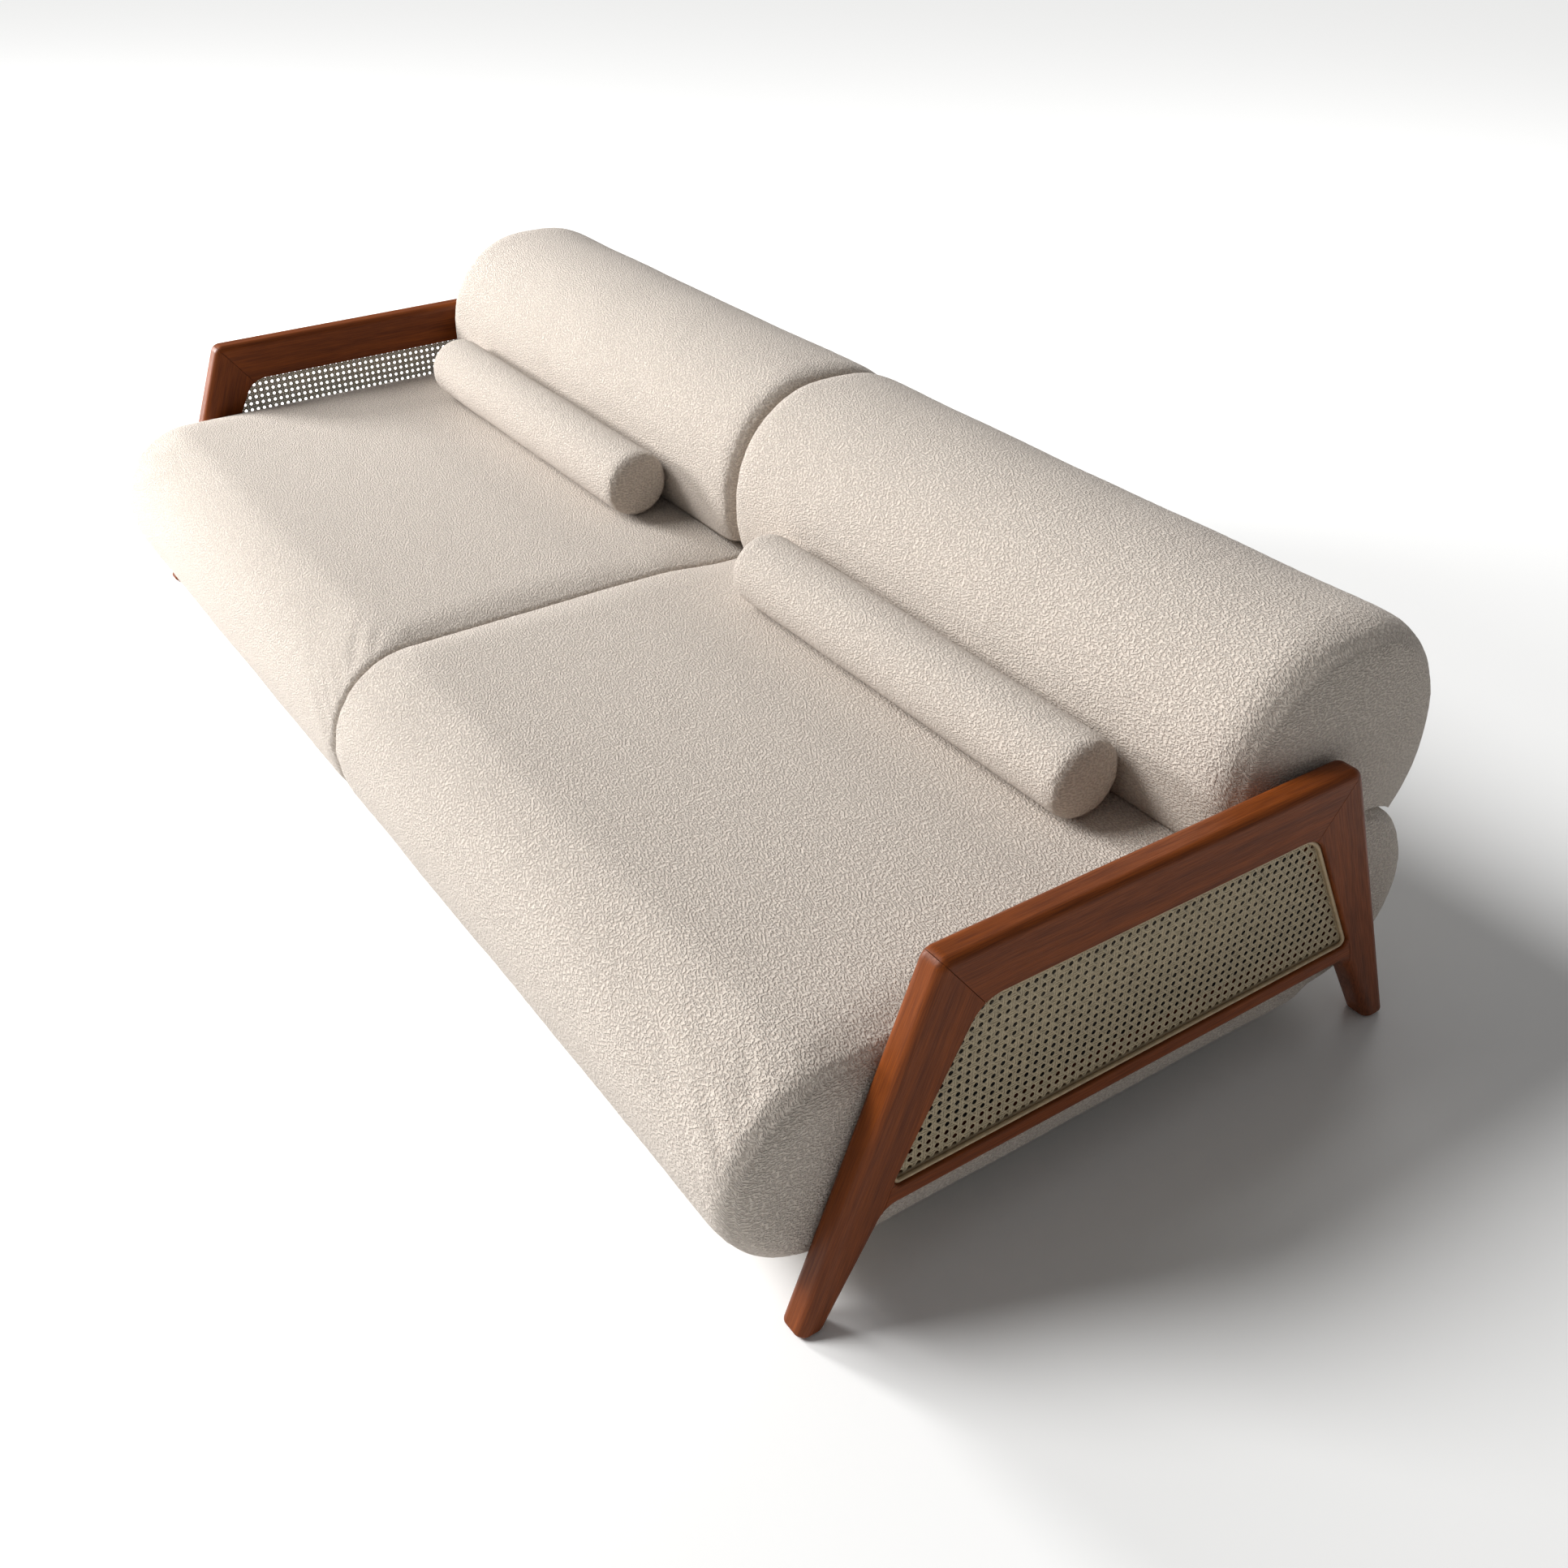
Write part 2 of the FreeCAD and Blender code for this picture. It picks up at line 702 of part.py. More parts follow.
def seat_upholstery():
    """The foam round the timber frame, the fabric cover over it and the dust cover beneath."""
    skin = size["cover_thickness"]
    outer = pill("seat_outside", size["module_inner"], size["module_outer"], ZERO, size["seat_end_round"])
    inner = pill("seat_inside", size["module_inner"] + skin, size["module_outer"] - skin, -skin,
                 size["seat_end_round"] - skin)
    half = size["frame_half_depth"]
    cavity = box_part("seat_cavity", (timber_inner, -half, frame_floor), (timber_outer, half, webbing_top))
    wells, mouths = [], []
    for index, side in enumerate((-1.0, 1.0)):
        at = (back_middle + size["post_spread"] * side, size["post_rail_centre"])
        wells.append(rod_part(f"well{index}", (*at, size["socket_bottom"]), size["socket_radius"],
                              size["seat_top"] - size["socket_bottom"], Vector(0, 0, 1)))
        mouths.append(rod_part(f"mouth{index}", (*at, size["seat_top"] - size["mouth_depth"]),
                               size["socket_bore"] + size["mouth_gap"], size["mouth_depth"] * 2.0,
                               Vector(0, 0, 1)))
    foam = cut("right_seat_foam", inner, cavity, group("socket_wells", wells), right_sleeves,
               right_bolts)
    inset = size["dust_cover_inset"]
    window = box_part("dust_window",
                      (timber_inner + inset, -(half - inset), size["seat_underside"] - size["cutter_margin"]),
                      (timber_outer - inset, half - inset, frame_floor))
    cover = cut("right_seat_cover", outer, inner, window, right_sleeves, right_bolts,
                joining_screws, group("socket_mouths", mouths))
    lap = inset / 2
    sheet_low = size["seat_underside"] - size["dust_cover_thickness"]
    dust = box_part("dust_sheet", (timber_inner + lap, -(half - lap), sheet_low),
                    (timber_outer - lap, half - lap, size["seat_underside"]))
    keep_pair(foam, "seat_foam")
    keep_pair(cover, "seat_cover")
    keep_pair(cut("right_dust_cover", dust, joining_screws), "dust_cover")


seat_timber()
keep_pair(seat_webbing(), "seat_webbing")
seat_upholstery()


# ---------------------------------------------------------------- backrest

def roll(label, inset):
    """The backrest's rounded section, inset by a margin and seated on the seat's back edge."""
    front = size["back_front"] + inset
    rear = size["back_rear"] - inset
    top = size["back_top"] - inset
    low = size["back_low"] + inset
    start = size["back_inner"] + inset
    stop = size["back_outer"] - inset
    corners = [(rear, low), (rear, top), (front, top), (front, low)]
    radii = [size["back_heel_radius"], size["back_radius"], size["back_radius"], size["back_radius"]]
    body = polygon_body(label + "_stock", "side", start, corners, stop - start)
    for corner, radius in zip(corners, radii):
        round_edges(body, radius - inset, across_edge_at(*corner))
    round_edges(body, size["back_end_round"] - inset, end_edges(start, stop))
    bed = pill(label + "_bed", start - size["cutter_margin"], stop + size["cutter_margin"],
               size["back_clearance"] + inset, None)
    return cut(label, body, bed)


def back_timber():
    """Two rails and four uprights inside the backrest."""
    low = size["back_inner"] + size["back_rail_margin"]
    high = size["back_outer"] - size["back_rail_margin"]
    thick = size["timber"]
    y = size["post_rail_centre"]
    rails = []
    for level in (size["back_rail_low"], size["back_rail_high"]):
        rails.append(box_part(f"back_rail{len(rails)}", (low, y - thick, level),
                              (high, y + thick, level + thick)))
    uprights = []
    for step in (-1.5, -0.5, 0.5, 1.5):
        x = back_middle + size["upright_pitch"] * step
        uprights.append(box_part(f"upright{len(uprights)}",
                                 (x - thick / 2, y - thick / 2, size["back_rail_low"] + thick),
                                 (x + thick / 2, y + thick / 2, size["back_rail_high"])))
    rail_pair = cut("right_back_rails", group("back_rail_pair", rails), right_posts)
    return rail_pair, group("right_back_uprights", uprights)


def backrest():
    outer = roll("back_outside", ZERO)
    inner = roll("back_inside", size["cover_thickness"])
    rails, uprights = back_timber()
    keep_pair(cut("right_back_foam", inner, rails, uprights, right_posts), "back_foam")
    keep_pair(cut("right_back_cover", outer, inner, right_posts), "back_cover")
    keep_pair(rails, "back_rails")
    keep_pair(uprights, "back_uprights")
    keep_pair(right_posts, "back_posts")


backrest()


# ---------------------------------------------------------------- bolster

def log(label, inset):
    """The bolster's cylinder with rounded ends, inset by a margin."""
    half = size["bolster_length"] / 2 - inset
    centre = (size["bolster_axis_depth"], size["bolster_axis_level"])
    start = seat_middle - half
    body = circle_body(label, "side", start, centre, size["bolster_radius"] - inset, half * 2.0)
    return round_edges(body, size["bolster_end_round"] - inset, end_edges(start, start + half * 2.0))


def bolster():
    skin = size["cover_thickness"]
    outer = log("bolster_outside", ZERO)
    core = log("bolster_core", skin)
    half_zip = size["zip_length"] / 2
    half_tape = size["zip_width"] / 2
    depth = size["bolster_axis_depth"]
    level = size["bolster_axis_level"]
    slot = box_part("zip_slot", (seat_middle - half_zip, depth, level - half_tape),
                    (seat_middle + half_zip, depth + size["bolster_radius"] + size["cutter_margin"],
                     level + half_tape))
    shell = cut("bolster_shell", outer, core)
    keep_pair(core, "bolster_foam")
    keep_pair(cut("right_bolster_cover", shell, slot), "bolster_cover")
    keep_pair(common("right_bolster_zip", shell, slot), "bolster_zip")


bolster()


# ---------------------------------------------------------------- checks and export

doc.recompute()
for item in doc.Objects:
    if "Invalid" in item.State or "Error" in item.State:
        raise RuntimeError(f"{item.Label} failed to compute: {item.State}")

os.makedirs("parts", exist_ok=True)
for piece in nodes:
    shape = piece.Shape
    if shape.isNull() or not shape.isValid() or not shape.Solids:
        raise RuntimeError(f"{piece.Label} has no valid solid")
    shape.exportStep(f"parts/{piece.Label}.step")
    print(piece.Label, len(shape.Solids), round(shape.Volume / 1000.0, 2))
print(len(nodes), "nodes")
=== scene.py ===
"""Upholstery, cane, timber finish and stage for the bench sofa daybed.

Metres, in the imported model's frame: +X along the length, -Y the front, +Z up.
"""
import bmesh
import bpy
import json
import math
import numpy as np
from mathutils import Matrix, Vector, geometry, noise


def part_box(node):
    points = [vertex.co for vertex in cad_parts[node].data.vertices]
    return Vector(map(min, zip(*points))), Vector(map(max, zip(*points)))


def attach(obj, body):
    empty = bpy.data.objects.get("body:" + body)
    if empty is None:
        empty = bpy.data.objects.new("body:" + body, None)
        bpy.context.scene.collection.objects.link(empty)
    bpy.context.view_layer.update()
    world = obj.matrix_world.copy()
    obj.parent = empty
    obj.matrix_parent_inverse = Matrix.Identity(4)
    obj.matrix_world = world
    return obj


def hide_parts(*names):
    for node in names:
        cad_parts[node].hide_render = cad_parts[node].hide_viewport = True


bl_info = {
    "name": "Bench Sofa Daybed",
    "version": (1, 0, 0),
    "blender": (4, 5, 0),
    "location": "3D View > Sidebar > Daybed",
    "description": "Builds the upholstery, cane panels, timber finish and stage of a daybed",
    "category": "Object",
}

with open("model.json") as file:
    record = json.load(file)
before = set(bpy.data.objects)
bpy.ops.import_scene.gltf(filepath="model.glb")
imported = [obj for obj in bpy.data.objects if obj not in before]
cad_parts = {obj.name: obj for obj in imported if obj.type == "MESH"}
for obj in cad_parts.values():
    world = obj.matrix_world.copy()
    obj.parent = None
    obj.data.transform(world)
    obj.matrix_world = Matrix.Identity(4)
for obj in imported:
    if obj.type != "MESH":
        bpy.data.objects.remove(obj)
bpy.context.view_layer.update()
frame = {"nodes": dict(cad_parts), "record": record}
SIDES = ("left", "right")

# ---- side frames
# each glued joint of a side frame, from its inner to its outer end, in Y and Z
JOINT_LINES = (((0.316, 0.470), (0.386, 0.562)), ((0.4525, 0.208), (0.472, 0.145)))
# how deep the groove round a glued joint goes
GROOVE_DEPTH = 0.0015
# how far a leg leans from upright: its run in Y over its height
LEG_SPLAY = math.atan2(0.214, 0.562)
# edges turned more sharply than this stay crisp
CRISP_EDGE = math.radians(32)

# ---- cane
BEAD_RADIUS = 0.00325
# how far the outer bead lies towards the frame's face from the modelled one
BEAD_STEP = 0.0035
STRAND_THICKNESS = 0.0005
# how far a strand rises and falls as it passes over and under its neighbours
PAIR_RISE = 0.00024
DIAGONAL_RISE = 0.00052

# ---- cushions
# how far a surface has turned towards X where the wrap is sewn to the end panel
END_PANEL_TURN = 0.72
# the seats' full-round rear stops short of the rear feet
SEAT_REAR = 0.652
# how far two modules press into each other at the middle
PRESSED_DEPTH = 0.009
# the front half of a seat crowns, and its inner rear corner sinks under the backrest's weight
FRONT_CROWN = 0.006
REAR_SINK = 0.016
# a backrest's whole roll, part of which its seat flattens
ROLL_HEIGHT = 0.456
ROLL_RADIUS = 0.212
# room left between a cushion and what it lies on
CLEARANCE = 0.0012


def srgb(code):
    """An sRGB hex colour as linear red, green and blue."""
    values = [int(code[i:i + 2], 16) / 255 for i in (1, 3, 5)]
    return [v / 12.92 if v <= 0.04045 else ((v + 0.055) / 1.055) ** 2.4 for v in values]


# ---------------------------------------------------------------- settings

class DaybedSizes(bpy.types.PropertyGroup):
    """Sizes that a maker would change."""
    seat_grid: bpy.props.FloatProperty(
        name="Seat grid", description="Spacing of the simulated cloth on seats and backs",
        default=0.014, min=0.008, max=0.06, unit="LENGTH")
    bolster_grid: bpy.props.FloatProperty(
        name="Bolster grid", description="Spacing of the simulated cloth on bolsters",
        default=0.0095, min=0.005, max=0.03, unit="LENGTH")
    seat_crown: bpy.props.FloatProperty(
        name="Seat crown", description="Most that the cover may stand off the foam's drawn shape",
        default=0.009, min=0.0, max=0.03, unit="LENGTH")
    seat_edge: bpy.props.FloatProperty(
        name="Seat edge", description="Radius round the ends of a seat module",
        default=0.052, min=0.01, max=0.1, unit="LENGTH")
    back_edge: bpy.props.FloatProperty(
        name="Back edge", description="Radius round the ends of a backrest",
        default=0.068, min=0.01, max=0.12, unit="LENGTH")
    joined_edge: bpy.props.FloatProperty(
        name="Joined edge", description="Radius round the ends where two modules meet",
        default=0.030, min=0.005, max=0.1, unit="LENGTH")
    seam_depth: bpy.props.FloatProperty(
        name="Seam depth", description="Depth of the groove along the end panels' seams",
        default=0.0016, min=0.0, max=0.005, unit="LENGTH")
    bolster_edge: bpy.props.FloatProperty(
        name="Bolster edge", description="Radius round the ends of a bolster",
        default=0.019, min=0.005, max=0.05, unit="LENGTH")
    cane_pitch: bpy.props.FloatProperty(
        name="Cane pitch", description="Distance from hole to hole in the cane webbing",
        default=0.01525, min=0.008, max=0.03, unit="LENGTH")
    cane_strand: bpy.props.FloatProperty(
        name="Cane strand", description="Width of one cane strand",
        default=0.0033, min=0.001, max=0.005, unit="LENGTH")
    joint_gap: bpy.props.FloatProperty(
        name="Joint gap", description="Width of the line at each glued timber joint",
        default=0.0010, min=0.0, max=0.003, unit="LENGTH")


class DaybedColours(bpy.types.PropertyGroup):
    """Colours that a maker would change."""
    boucle_loop: bpy.props.FloatVectorProperty(
        name="Boucle loop", description="Tips of the looped yarn", subtype="COLOR",
        default=srgb("#DBCFC2"), min=0.0, max=1.0)
    # painted shade: the colour of the cloth down between the loops, darker because shade falls there
    boucle_recess_shade: bpy.props.FloatVectorProperty(
        name="Boucle ground", description="Shaded ground between the loops", subtype="COLOR",
        default=srgb("#BAACA0"), min=0.0, max=1.0)
    timber_light: bpy.props.FloatVectorProperty(
        name="Timber light", description="Light grain of the stained timber", subtype="COLOR",
        default=srgb("#894414"), min=0.0, max=1.0)
    timber_dark: bpy.props.FloatVectorProperty(
        name="Timber dark", description="Dark grain of the stained timber", subtype="COLOR",
        default=srgb("#53250C"), min=0.0, max=1.0)
    cane: bpy.props.FloatVectorProperty(
        name="Cane", description="Skin of the cane strands", subtype="COLOR",
        default=srgb("#B3A385"), min=0.0, max=1.0)
    bead: bpy.props.FloatVectorProperty(
        name="Bead", description="Cane bead round the panels", subtype="COLOR",
        default=srgb("#BBA482"), min=0.0, max=1.0)
    # painted shade: near black, laid on the seats' outer ends behind the cane panels so that the cane holes
    # look dark
    lining: bpy.props.FloatVectorProperty(
        name="Lining", description="Dark lining on the seat ends behind the cane", subtype="COLOR",
        default=srgb("#0A0908"), min=0.0, max=1.0)
    floor: bpy.props.FloatVectorProperty(
        name="Floor", description="Studio floor", subtype="COLOR",
        default=srgb("#FBFBFA"), min=0.0, max=1.0)


# ---------------------------------------------------------------- meshes

def new_object(name, mesh):
    made = bpy.data.objects.new(name, mesh)
    bpy.context.scene.collection.objects.link(made)
    return made


def from_bmesh(name, bm):
    mesh = bpy.data.meshes.new(name)
    bm.to_mesh(mesh)
    bm.free()
    return new_object(name, mesh)


def baked(source, name=None):
    """A copy of the object's mesh with its modifiers applied, or a curve as a mesh."""
    graph = bpy.context.evaluated_depsgraph_get()
    graph.update()
    mesh = bpy.data.meshes.new_from_object(source.evaluated_get(graph), depsgraph=graph)
    mesh.name = name or source.name
    return mesh


def apply_modifiers(thing):
    thing.data = baked(thing)
    thing.modifiers.clear()
    return thing


def positions(mesh):
    flat = np.empty(len(mesh.vertices) * 3)
    mesh.vertices.foreach_get("co", flat)
    return flat.reshape(-1, 3)


def vertex_normals(mesh):
    flat = np.empty(len(mesh.vertices) * 3)
    mesh.vertex_normals.foreach_get("vector", flat)
    return flat.reshape(-1, 3)


def move_to(mesh, places):
    mesh.vertices.foreach_set("co", np.asarray(places).ravel())
    mesh.update()


def soft_limit(value, limit, softness):
    """The value held below a limit that it nears gradually."""
    knee = limit - softness
    return np.where(value > knee, knee + softness * np.tanh((value - knee) / softness), value)


def smooth_step(value, low, high):
    share = np.clip((value - low) / (high - low), 0.0, 1.0)
    return share * share * (3.0 - 2.0 * share)


def finish_piece(piece, body, material, replaced):
    """Give a piece its material and its body, and hide the nodes it stands for."""
    piece.data.materials.clear()
    piece.data.materials.append(material)
    piece.data.shade_smooth()
    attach(piece, body)
    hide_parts(*replaced)
    return piece


# ---------------------------------------------------------------- materials

def new_material(name):
    material = bpy.data.materials.new(name)
    material.use_nodes = True
    material.node_tree.nodes.clear()
    return material, material.node_tree


def add(tree, kind, inputs=None, **settings):
    """Add a node with its settings; an input is either a value or a socket to link from."""
    made = tree.nodes.new(kind)
    for name, value in settings.items():
        setattr(made, name, value)
    for name, value in (inputs or {}).items():
        if isinstance(value, bpy.types.NodeSocket):
            tree.links.new(value, made.inputs[name])
        else:
            made.inputs[name].default_value = value
    return made


def rgba(colour):
    return (*colour[:3], 1.0)


def finish_material(tree, shader):
    add(tree, "ShaderNodeOutputMaterial", {"Surface": shader.outputs["BSDF"]})


def boucle_material(colours):
    """Wool boucle: fat looped yarn in loose rows, so it is bumpy, matt and soft at grazing angles.

    Loops are about 5 mm along a row and 3 mm across it, and the fibres are drawn at 1.6 mm, coarser
    than real ones, so that they show. All the cushions share it.
    """
    if "wool_boucle" in bpy.data.materials:
        return bpy.data.materials["wool_boucle"]
    material, tree = new_material("wool_boucle")
    cloth = add(tree, "ShaderNodeUVMap", uv_map="cloth").outputs["UV"]
    drift = add(tree, "ShaderNodeTexNoise", {"Vector": cloth, "Scale": 1 / 0.022, "Detail": 2.0})
    shifted = add(tree, "ShaderNodeVectorMath", {0: drift.outputs["Color"], 1: (0.5, 0.5, 0.5)},
                  operation="SUBTRACT")
    wander = add(tree, "ShaderNodeVectorMath", {0: shifted.outputs["Vector"], "Scale": 0.0022},
                 operation="SCALE")
    bent = add(tree, "ShaderNodeVectorMath", {0: cloth, 1: wander.outputs["Vector"]}, operation="ADD")
    loops = add(tree, "ShaderNodeMapping",
                {"Vector": bent.outputs["Vector"], "Scale": (1 / 0.0054, 1 / 0.0031, 1.0)})
    knots = add(tree, "ShaderNodeTexNoise",
                {"Vector": loops.outputs["Vector"], "Scale": 1.0, "Detail": 1.5, "Roughness": 0.45},
                noise_dimensions="2D")
    cells = add(tree, "ShaderNodeTexVoronoi",
                {"Vector": loops.outputs["Vector"], "Scale": 1.35, "Randomness": 0.7, "Smoothness": 0.7},
                feature="SMOOTH_F1", voronoi_dimensions="2D")
    piled = add(tree, "ShaderNodeMath", {0: cells.outputs["Distance"], 1: -0.35, 2: knots.outputs["Fac"]},
                operation="MULTIPLY_ADD")
    round_loops = add(tree, "ShaderNodeMapRange",
                      {"Value": piled.outputs["Value"], "From Min": 0.20, "From Max": 0.52},
                      interpolation_type="SMOOTHSTEP")
    fibre = add(tree, "ShaderNodeTexNoise", {"Vector": cloth, "Scale": 1 / 0.0016, "Detail": 3.0,
                                             "Roughness": 0.65})
    height = add(tree, "ShaderNodeMath",
                 {0: fibre.outputs["Fac"], 1: 0.38, 2: round_loops.outputs["Result"]},
                 operation="MULTIPLY_ADD")
    patch = add(tree, "ShaderNodeTexNoise", {"Vector": cloth, "Scale": 1 / 0.035, "Detail": 3.0})
    # the colour runs from the loop colour on the raised loops to the darker colour between them, which is
    # painted shade in the recesses, and also wavers at random in 35 mm patches
    shade = add(tree, "ShaderNodeMath",
                {0: patch.outputs["Fac"], 1: 0.35, 2: round_loops.outputs["Result"]},
                operation="MULTIPLY_ADD")
    tone = add(tree, "ShaderNodeMapRange", {"Value": shade.outputs["Value"], "From Min": 0.05,
                                            "From Max": 0.95})
    colour = add(tree, "ShaderNodeMix",
                 {"Factor": tone.outputs["Result"], "A": rgba(colours.boucle_recess_shade),
                  "B": rgba(colours.boucle_loop)}, data_type="RGBA")
    # painted shade: where the mesh attribute marks the seat's outer end behind the cane, the colour is
    # mixed to near black
    painted_shade_fac = add(tree, "ShaderNodeAttribute", attribute_name="lining")
    colour_with_painted_shade = add(tree, "ShaderNodeMix",
                {"Factor": painted_shade_fac.outputs["Fac"], "A": colour.outputs["Result"],
                 "B": rgba(colours.lining)}, data_type="RGBA")
    bump = add(tree, "ShaderNodeBump", {"Height": height.outputs["Value"], "Strength": 1.0,
                                        "Distance": 0.0022})
    shader = add(tree, "ShaderNodeBsdfPrincipled",
                 {"Base Color": colour_with_painted_shade.outputs["Result"], "Roughness": 0.95, "Sheen Weight": 0.25,
                  "Sheen Roughness": 0.6, "Normal": bump.outputs["Normal"]})
    finish_material(tree, shader)
    return material


def timber_material(name, colours, tilt):
    """Red-brown stained beech under satin lacquer: fine straight grain and a soft broad highlight.

    tilt turns the grain about X, so that it runs along the piece. Its streaks are 1.6 mm wide and
    60 mm long, which is coarser than beech's own pores, and the figure is 20 mm wide.
    """
    material, tree = new_material(name)
    place = add(tree, "ShaderNodeTexCoord").outputs["Object"]
    along = add(tree, "ShaderNodeMapping", {"Vector": place, "Rotation": (tilt, 0.0, 0.0)})
    board = add(tree, "ShaderNodeMapping", {"Vector": along.outputs["Vector"],
                                            "Scale": (1 / 0.020, 1 / 0.45, 1 / 0.020)})
    figure = add(tree, "ShaderNodeTexNoise", {"Vector": board.outputs["Vector"], "Scale": 1.0,
                                              "Detail": 3.0, "Distortion": 0.6})
    fine = add(tree, "ShaderNodeMapping", {"Vector": along.outputs["Vector"],
                                           "Scale": (1 / 0.0016, 1 / 0.060, 1 / 0.0016)})
    grain = add(tree, "ShaderNodeTexNoise", {"Vector": fine.outputs["Vector"], "Scale": 1.0,
                                             "Detail": 4.0, "Roughness": 0.6})
    pores = add(tree, "ShaderNodeMapRange", {"Value": grain.outputs["Fac"], "From Min": 0.38,
                                             "From Max": 0.62})
    mixed = add(tree, "ShaderNodeMath", {0: pores.outputs["Result"], 1: 0.35, 2: figure.outputs["Fac"]},
                operation="MULTIPLY_ADD")
    tone = add(tree, "ShaderNodeMapRange", {"Value": mixed.outputs["Value"], "From Min": 0.27,
                                            "From Max": 1.05})
    colour = add(tree, "ShaderNodeMix",
                 {"Factor": tone.outputs["Result"], "A": rgba(colours.timber_dark),
                  "B": rgba(colours.timber_light)}, data_type="RGBA")
    gloss = add(tree, "ShaderNodeMapRange", {"Value": pores.outputs["Result"], "To Min": 0.5,
                                             "To Max": 0.4})
    bump = add(tree, "ShaderNodeBump", {"Height": pores.outputs["Result"], "Strength": 0.25,
                                        "Distance": 0.0002})
    shader = add(tree, "ShaderNodeBsdfPrincipled",
                 {"Base Color": colour.outputs["Result"], "Roughness": gloss.outputs["Result"],
                  "Specular IOR Level": 0.2, "Normal": bump.outputs["Normal"]})
    finish_material(tree, shader)
    return material


def cane_material(name, base, stretch):
    """Rattan cane: the plant's own glossy skin, with pale and dark fibres a few millimetres long."""
    material, tree = new_material(name)
    place = add(tree, "ShaderNodeTexCoord").outputs["Object"]
    fibres = add(tree, "ShaderNodeMapping", {"Vector": place, "Scale": stretch})
    streak = add(tree, "ShaderNodeTexNoise", {"Vector": fibres.outputs["Vector"], "Scale": 1.0,
                                              "Detail": 3.0})
    tone = add(tree, "ShaderNodeMapRange", {"Value": streak.outputs["Fac"], "From Min": 0.3,
                                            "From Max": 0.7, "To Min": 0.78, "To Max": 1.08})
    colour = add(tree, "ShaderNodeVectorMath", {0: base[:3], "Scale": tone.outputs["Result"]},
                 operation="SCALE")
    bump = add(tree, "ShaderNodeBump", {"Height": streak.outputs["Fac"], "Strength": 0.3,
                                        "Distance": 0.0003})
    shader = add(tree, "ShaderNodeBsdfPrincipled",
                 {"Base Color": colour.outputs["Vector"], "Roughness": 0.42,
                  "Normal": bump.outputs["Normal"]})
    finish_material(tree, shader)
    return material


def plain_material(name, base, roughness, metallic, grain, contrast):
    """A finish whose colour wavers slightly over the given grain size."""
    material, tree = new_material(name)
    place = add(tree, "ShaderNodeTexCoord").outputs["Object"]
    spots = add(tree, "ShaderNodeTexNoise", {"Vector": place, "Scale": 1 / grain, "Detail": 4.0})
    tone = add(tree, "ShaderNodeMapRange", {"Value": spots.outputs["Fac"], "From Min": 0.3,
                                            "From Max": 0.7, "To Min": 1.0 - contrast, "To Max": 1.0})
    colour = add(tree, "ShaderNodeVectorMath", {0: base[:3], "Scale": tone.outputs["Result"]},
                 operation="SCALE")
    bump = add(tree, "ShaderNodeBump", {"Height": spots.outputs["Fac"], "Strength": 0.2,
                                        "Distance": grain * 0.1})
    shader = add(tree, "ShaderNodeBsdfPrincipled",
                 {"Base Color": colour.outputs["Vector"], "Roughness": roughness,
                  "Metallic": metallic, "Normal": bump.outputs["Normal"]})
    finish_material(tree, shader)
    return material


# ---------------------------------------------------------------- soft forms

def rounded_block(low, high, radii, end_radii):
    """A block whose four long edges and two end rims are rounded.

    radii are for the edges at front low, front high, rear low and rear high, in that order, and
    end_radii for the left rim and the right rim.
    """
    bm = bmesh.new()
    bmesh.ops.create_cube(bm, size=1.0)
    span = high - low
    bmesh.ops.scale(bm, vec=span, verts=bm.verts)
    bmesh.ops.translate(bm, vec=(low + high) / 2, verts=bm.verts)
    corners = ((low.y, low.z), (low.y, high.z), (high.y, low.z), (high.y, high.z))
    for (y, z), radius in zip(corners, radii):
        edges = [e for e in bm.edges
                 if all(abs(v.co.y - y) < 1e-5 and abs(v.co.z - z) < 1e-5 for v in e.verts)]
        bmesh.ops.bevel(bm, geom=edges, offset=radius, segments=20, profile=0.5,
                        affect="EDGES", material=-1)
    for x, radius in zip((low.x, high.x), end_radii):
        rim = [e for e in bm.edges if all(abs(v.co.x - x) < 1e-5 for v in e.verts)]
        bmesh.ops.bevel(bm, geom=rim, offset=radius, segments=8, profile=0.5,
                        affect="EDGES", material=-1)
    return bm


def square_lower_rim(side, seat, low, high, rounding):
    """Pack the lower rim of a seat's outer end, where the padding is pulled over the timber frame."""
    half = (high.z - low.z) / 2
    reach = high.y - half - 0.03
    depth = rounding * 1.6
    near, far = (high.x - depth, high.x) if side == "right" else (low.x, low.x + depth)
    packing = rounded_block(Vector((near, -reach, low.z)), Vector((far, reach, low.z + depth)),
                            (depth * 0.49,) * 4, (0.012, 0.012))
    packing.from_mesh(seat.data)
    packing.to_mesh(seat.data)
    packing.free()


def end_radii(side, outer, joined):
    """Left and right rim radii of a module: its outer end is softer than the end at the middle."""
    return (joined, outer) if side == "right" else (outer, joined)


def past_middle(side, low, high):
    """The module's corners with its inner end moved past the middle, where the two modules press."""
    push = Vector((PRESSED_DEPTH, 0.0, 0.0))
    return (low - push, high) if side == "right" else (low, high + push)


def meet_in_middle(side, places):
    """Flatten the pressed end against the neighbouring module."""
    gap = 0.0004 if side == "right" else -0.0004
    flatten = np.maximum if side == "right" else np.minimum
    places[:, 0] = flatten(places[:, 0], gap)


def fit_between(places, axis, low, high):
    """Stretch the places along one axis so that they just fill the given span."""
    column = places[:, axis]
    start, stop = column.min(), column.max()
    places[:, axis] = low + (column - start) * (high - low) / (stop - start)


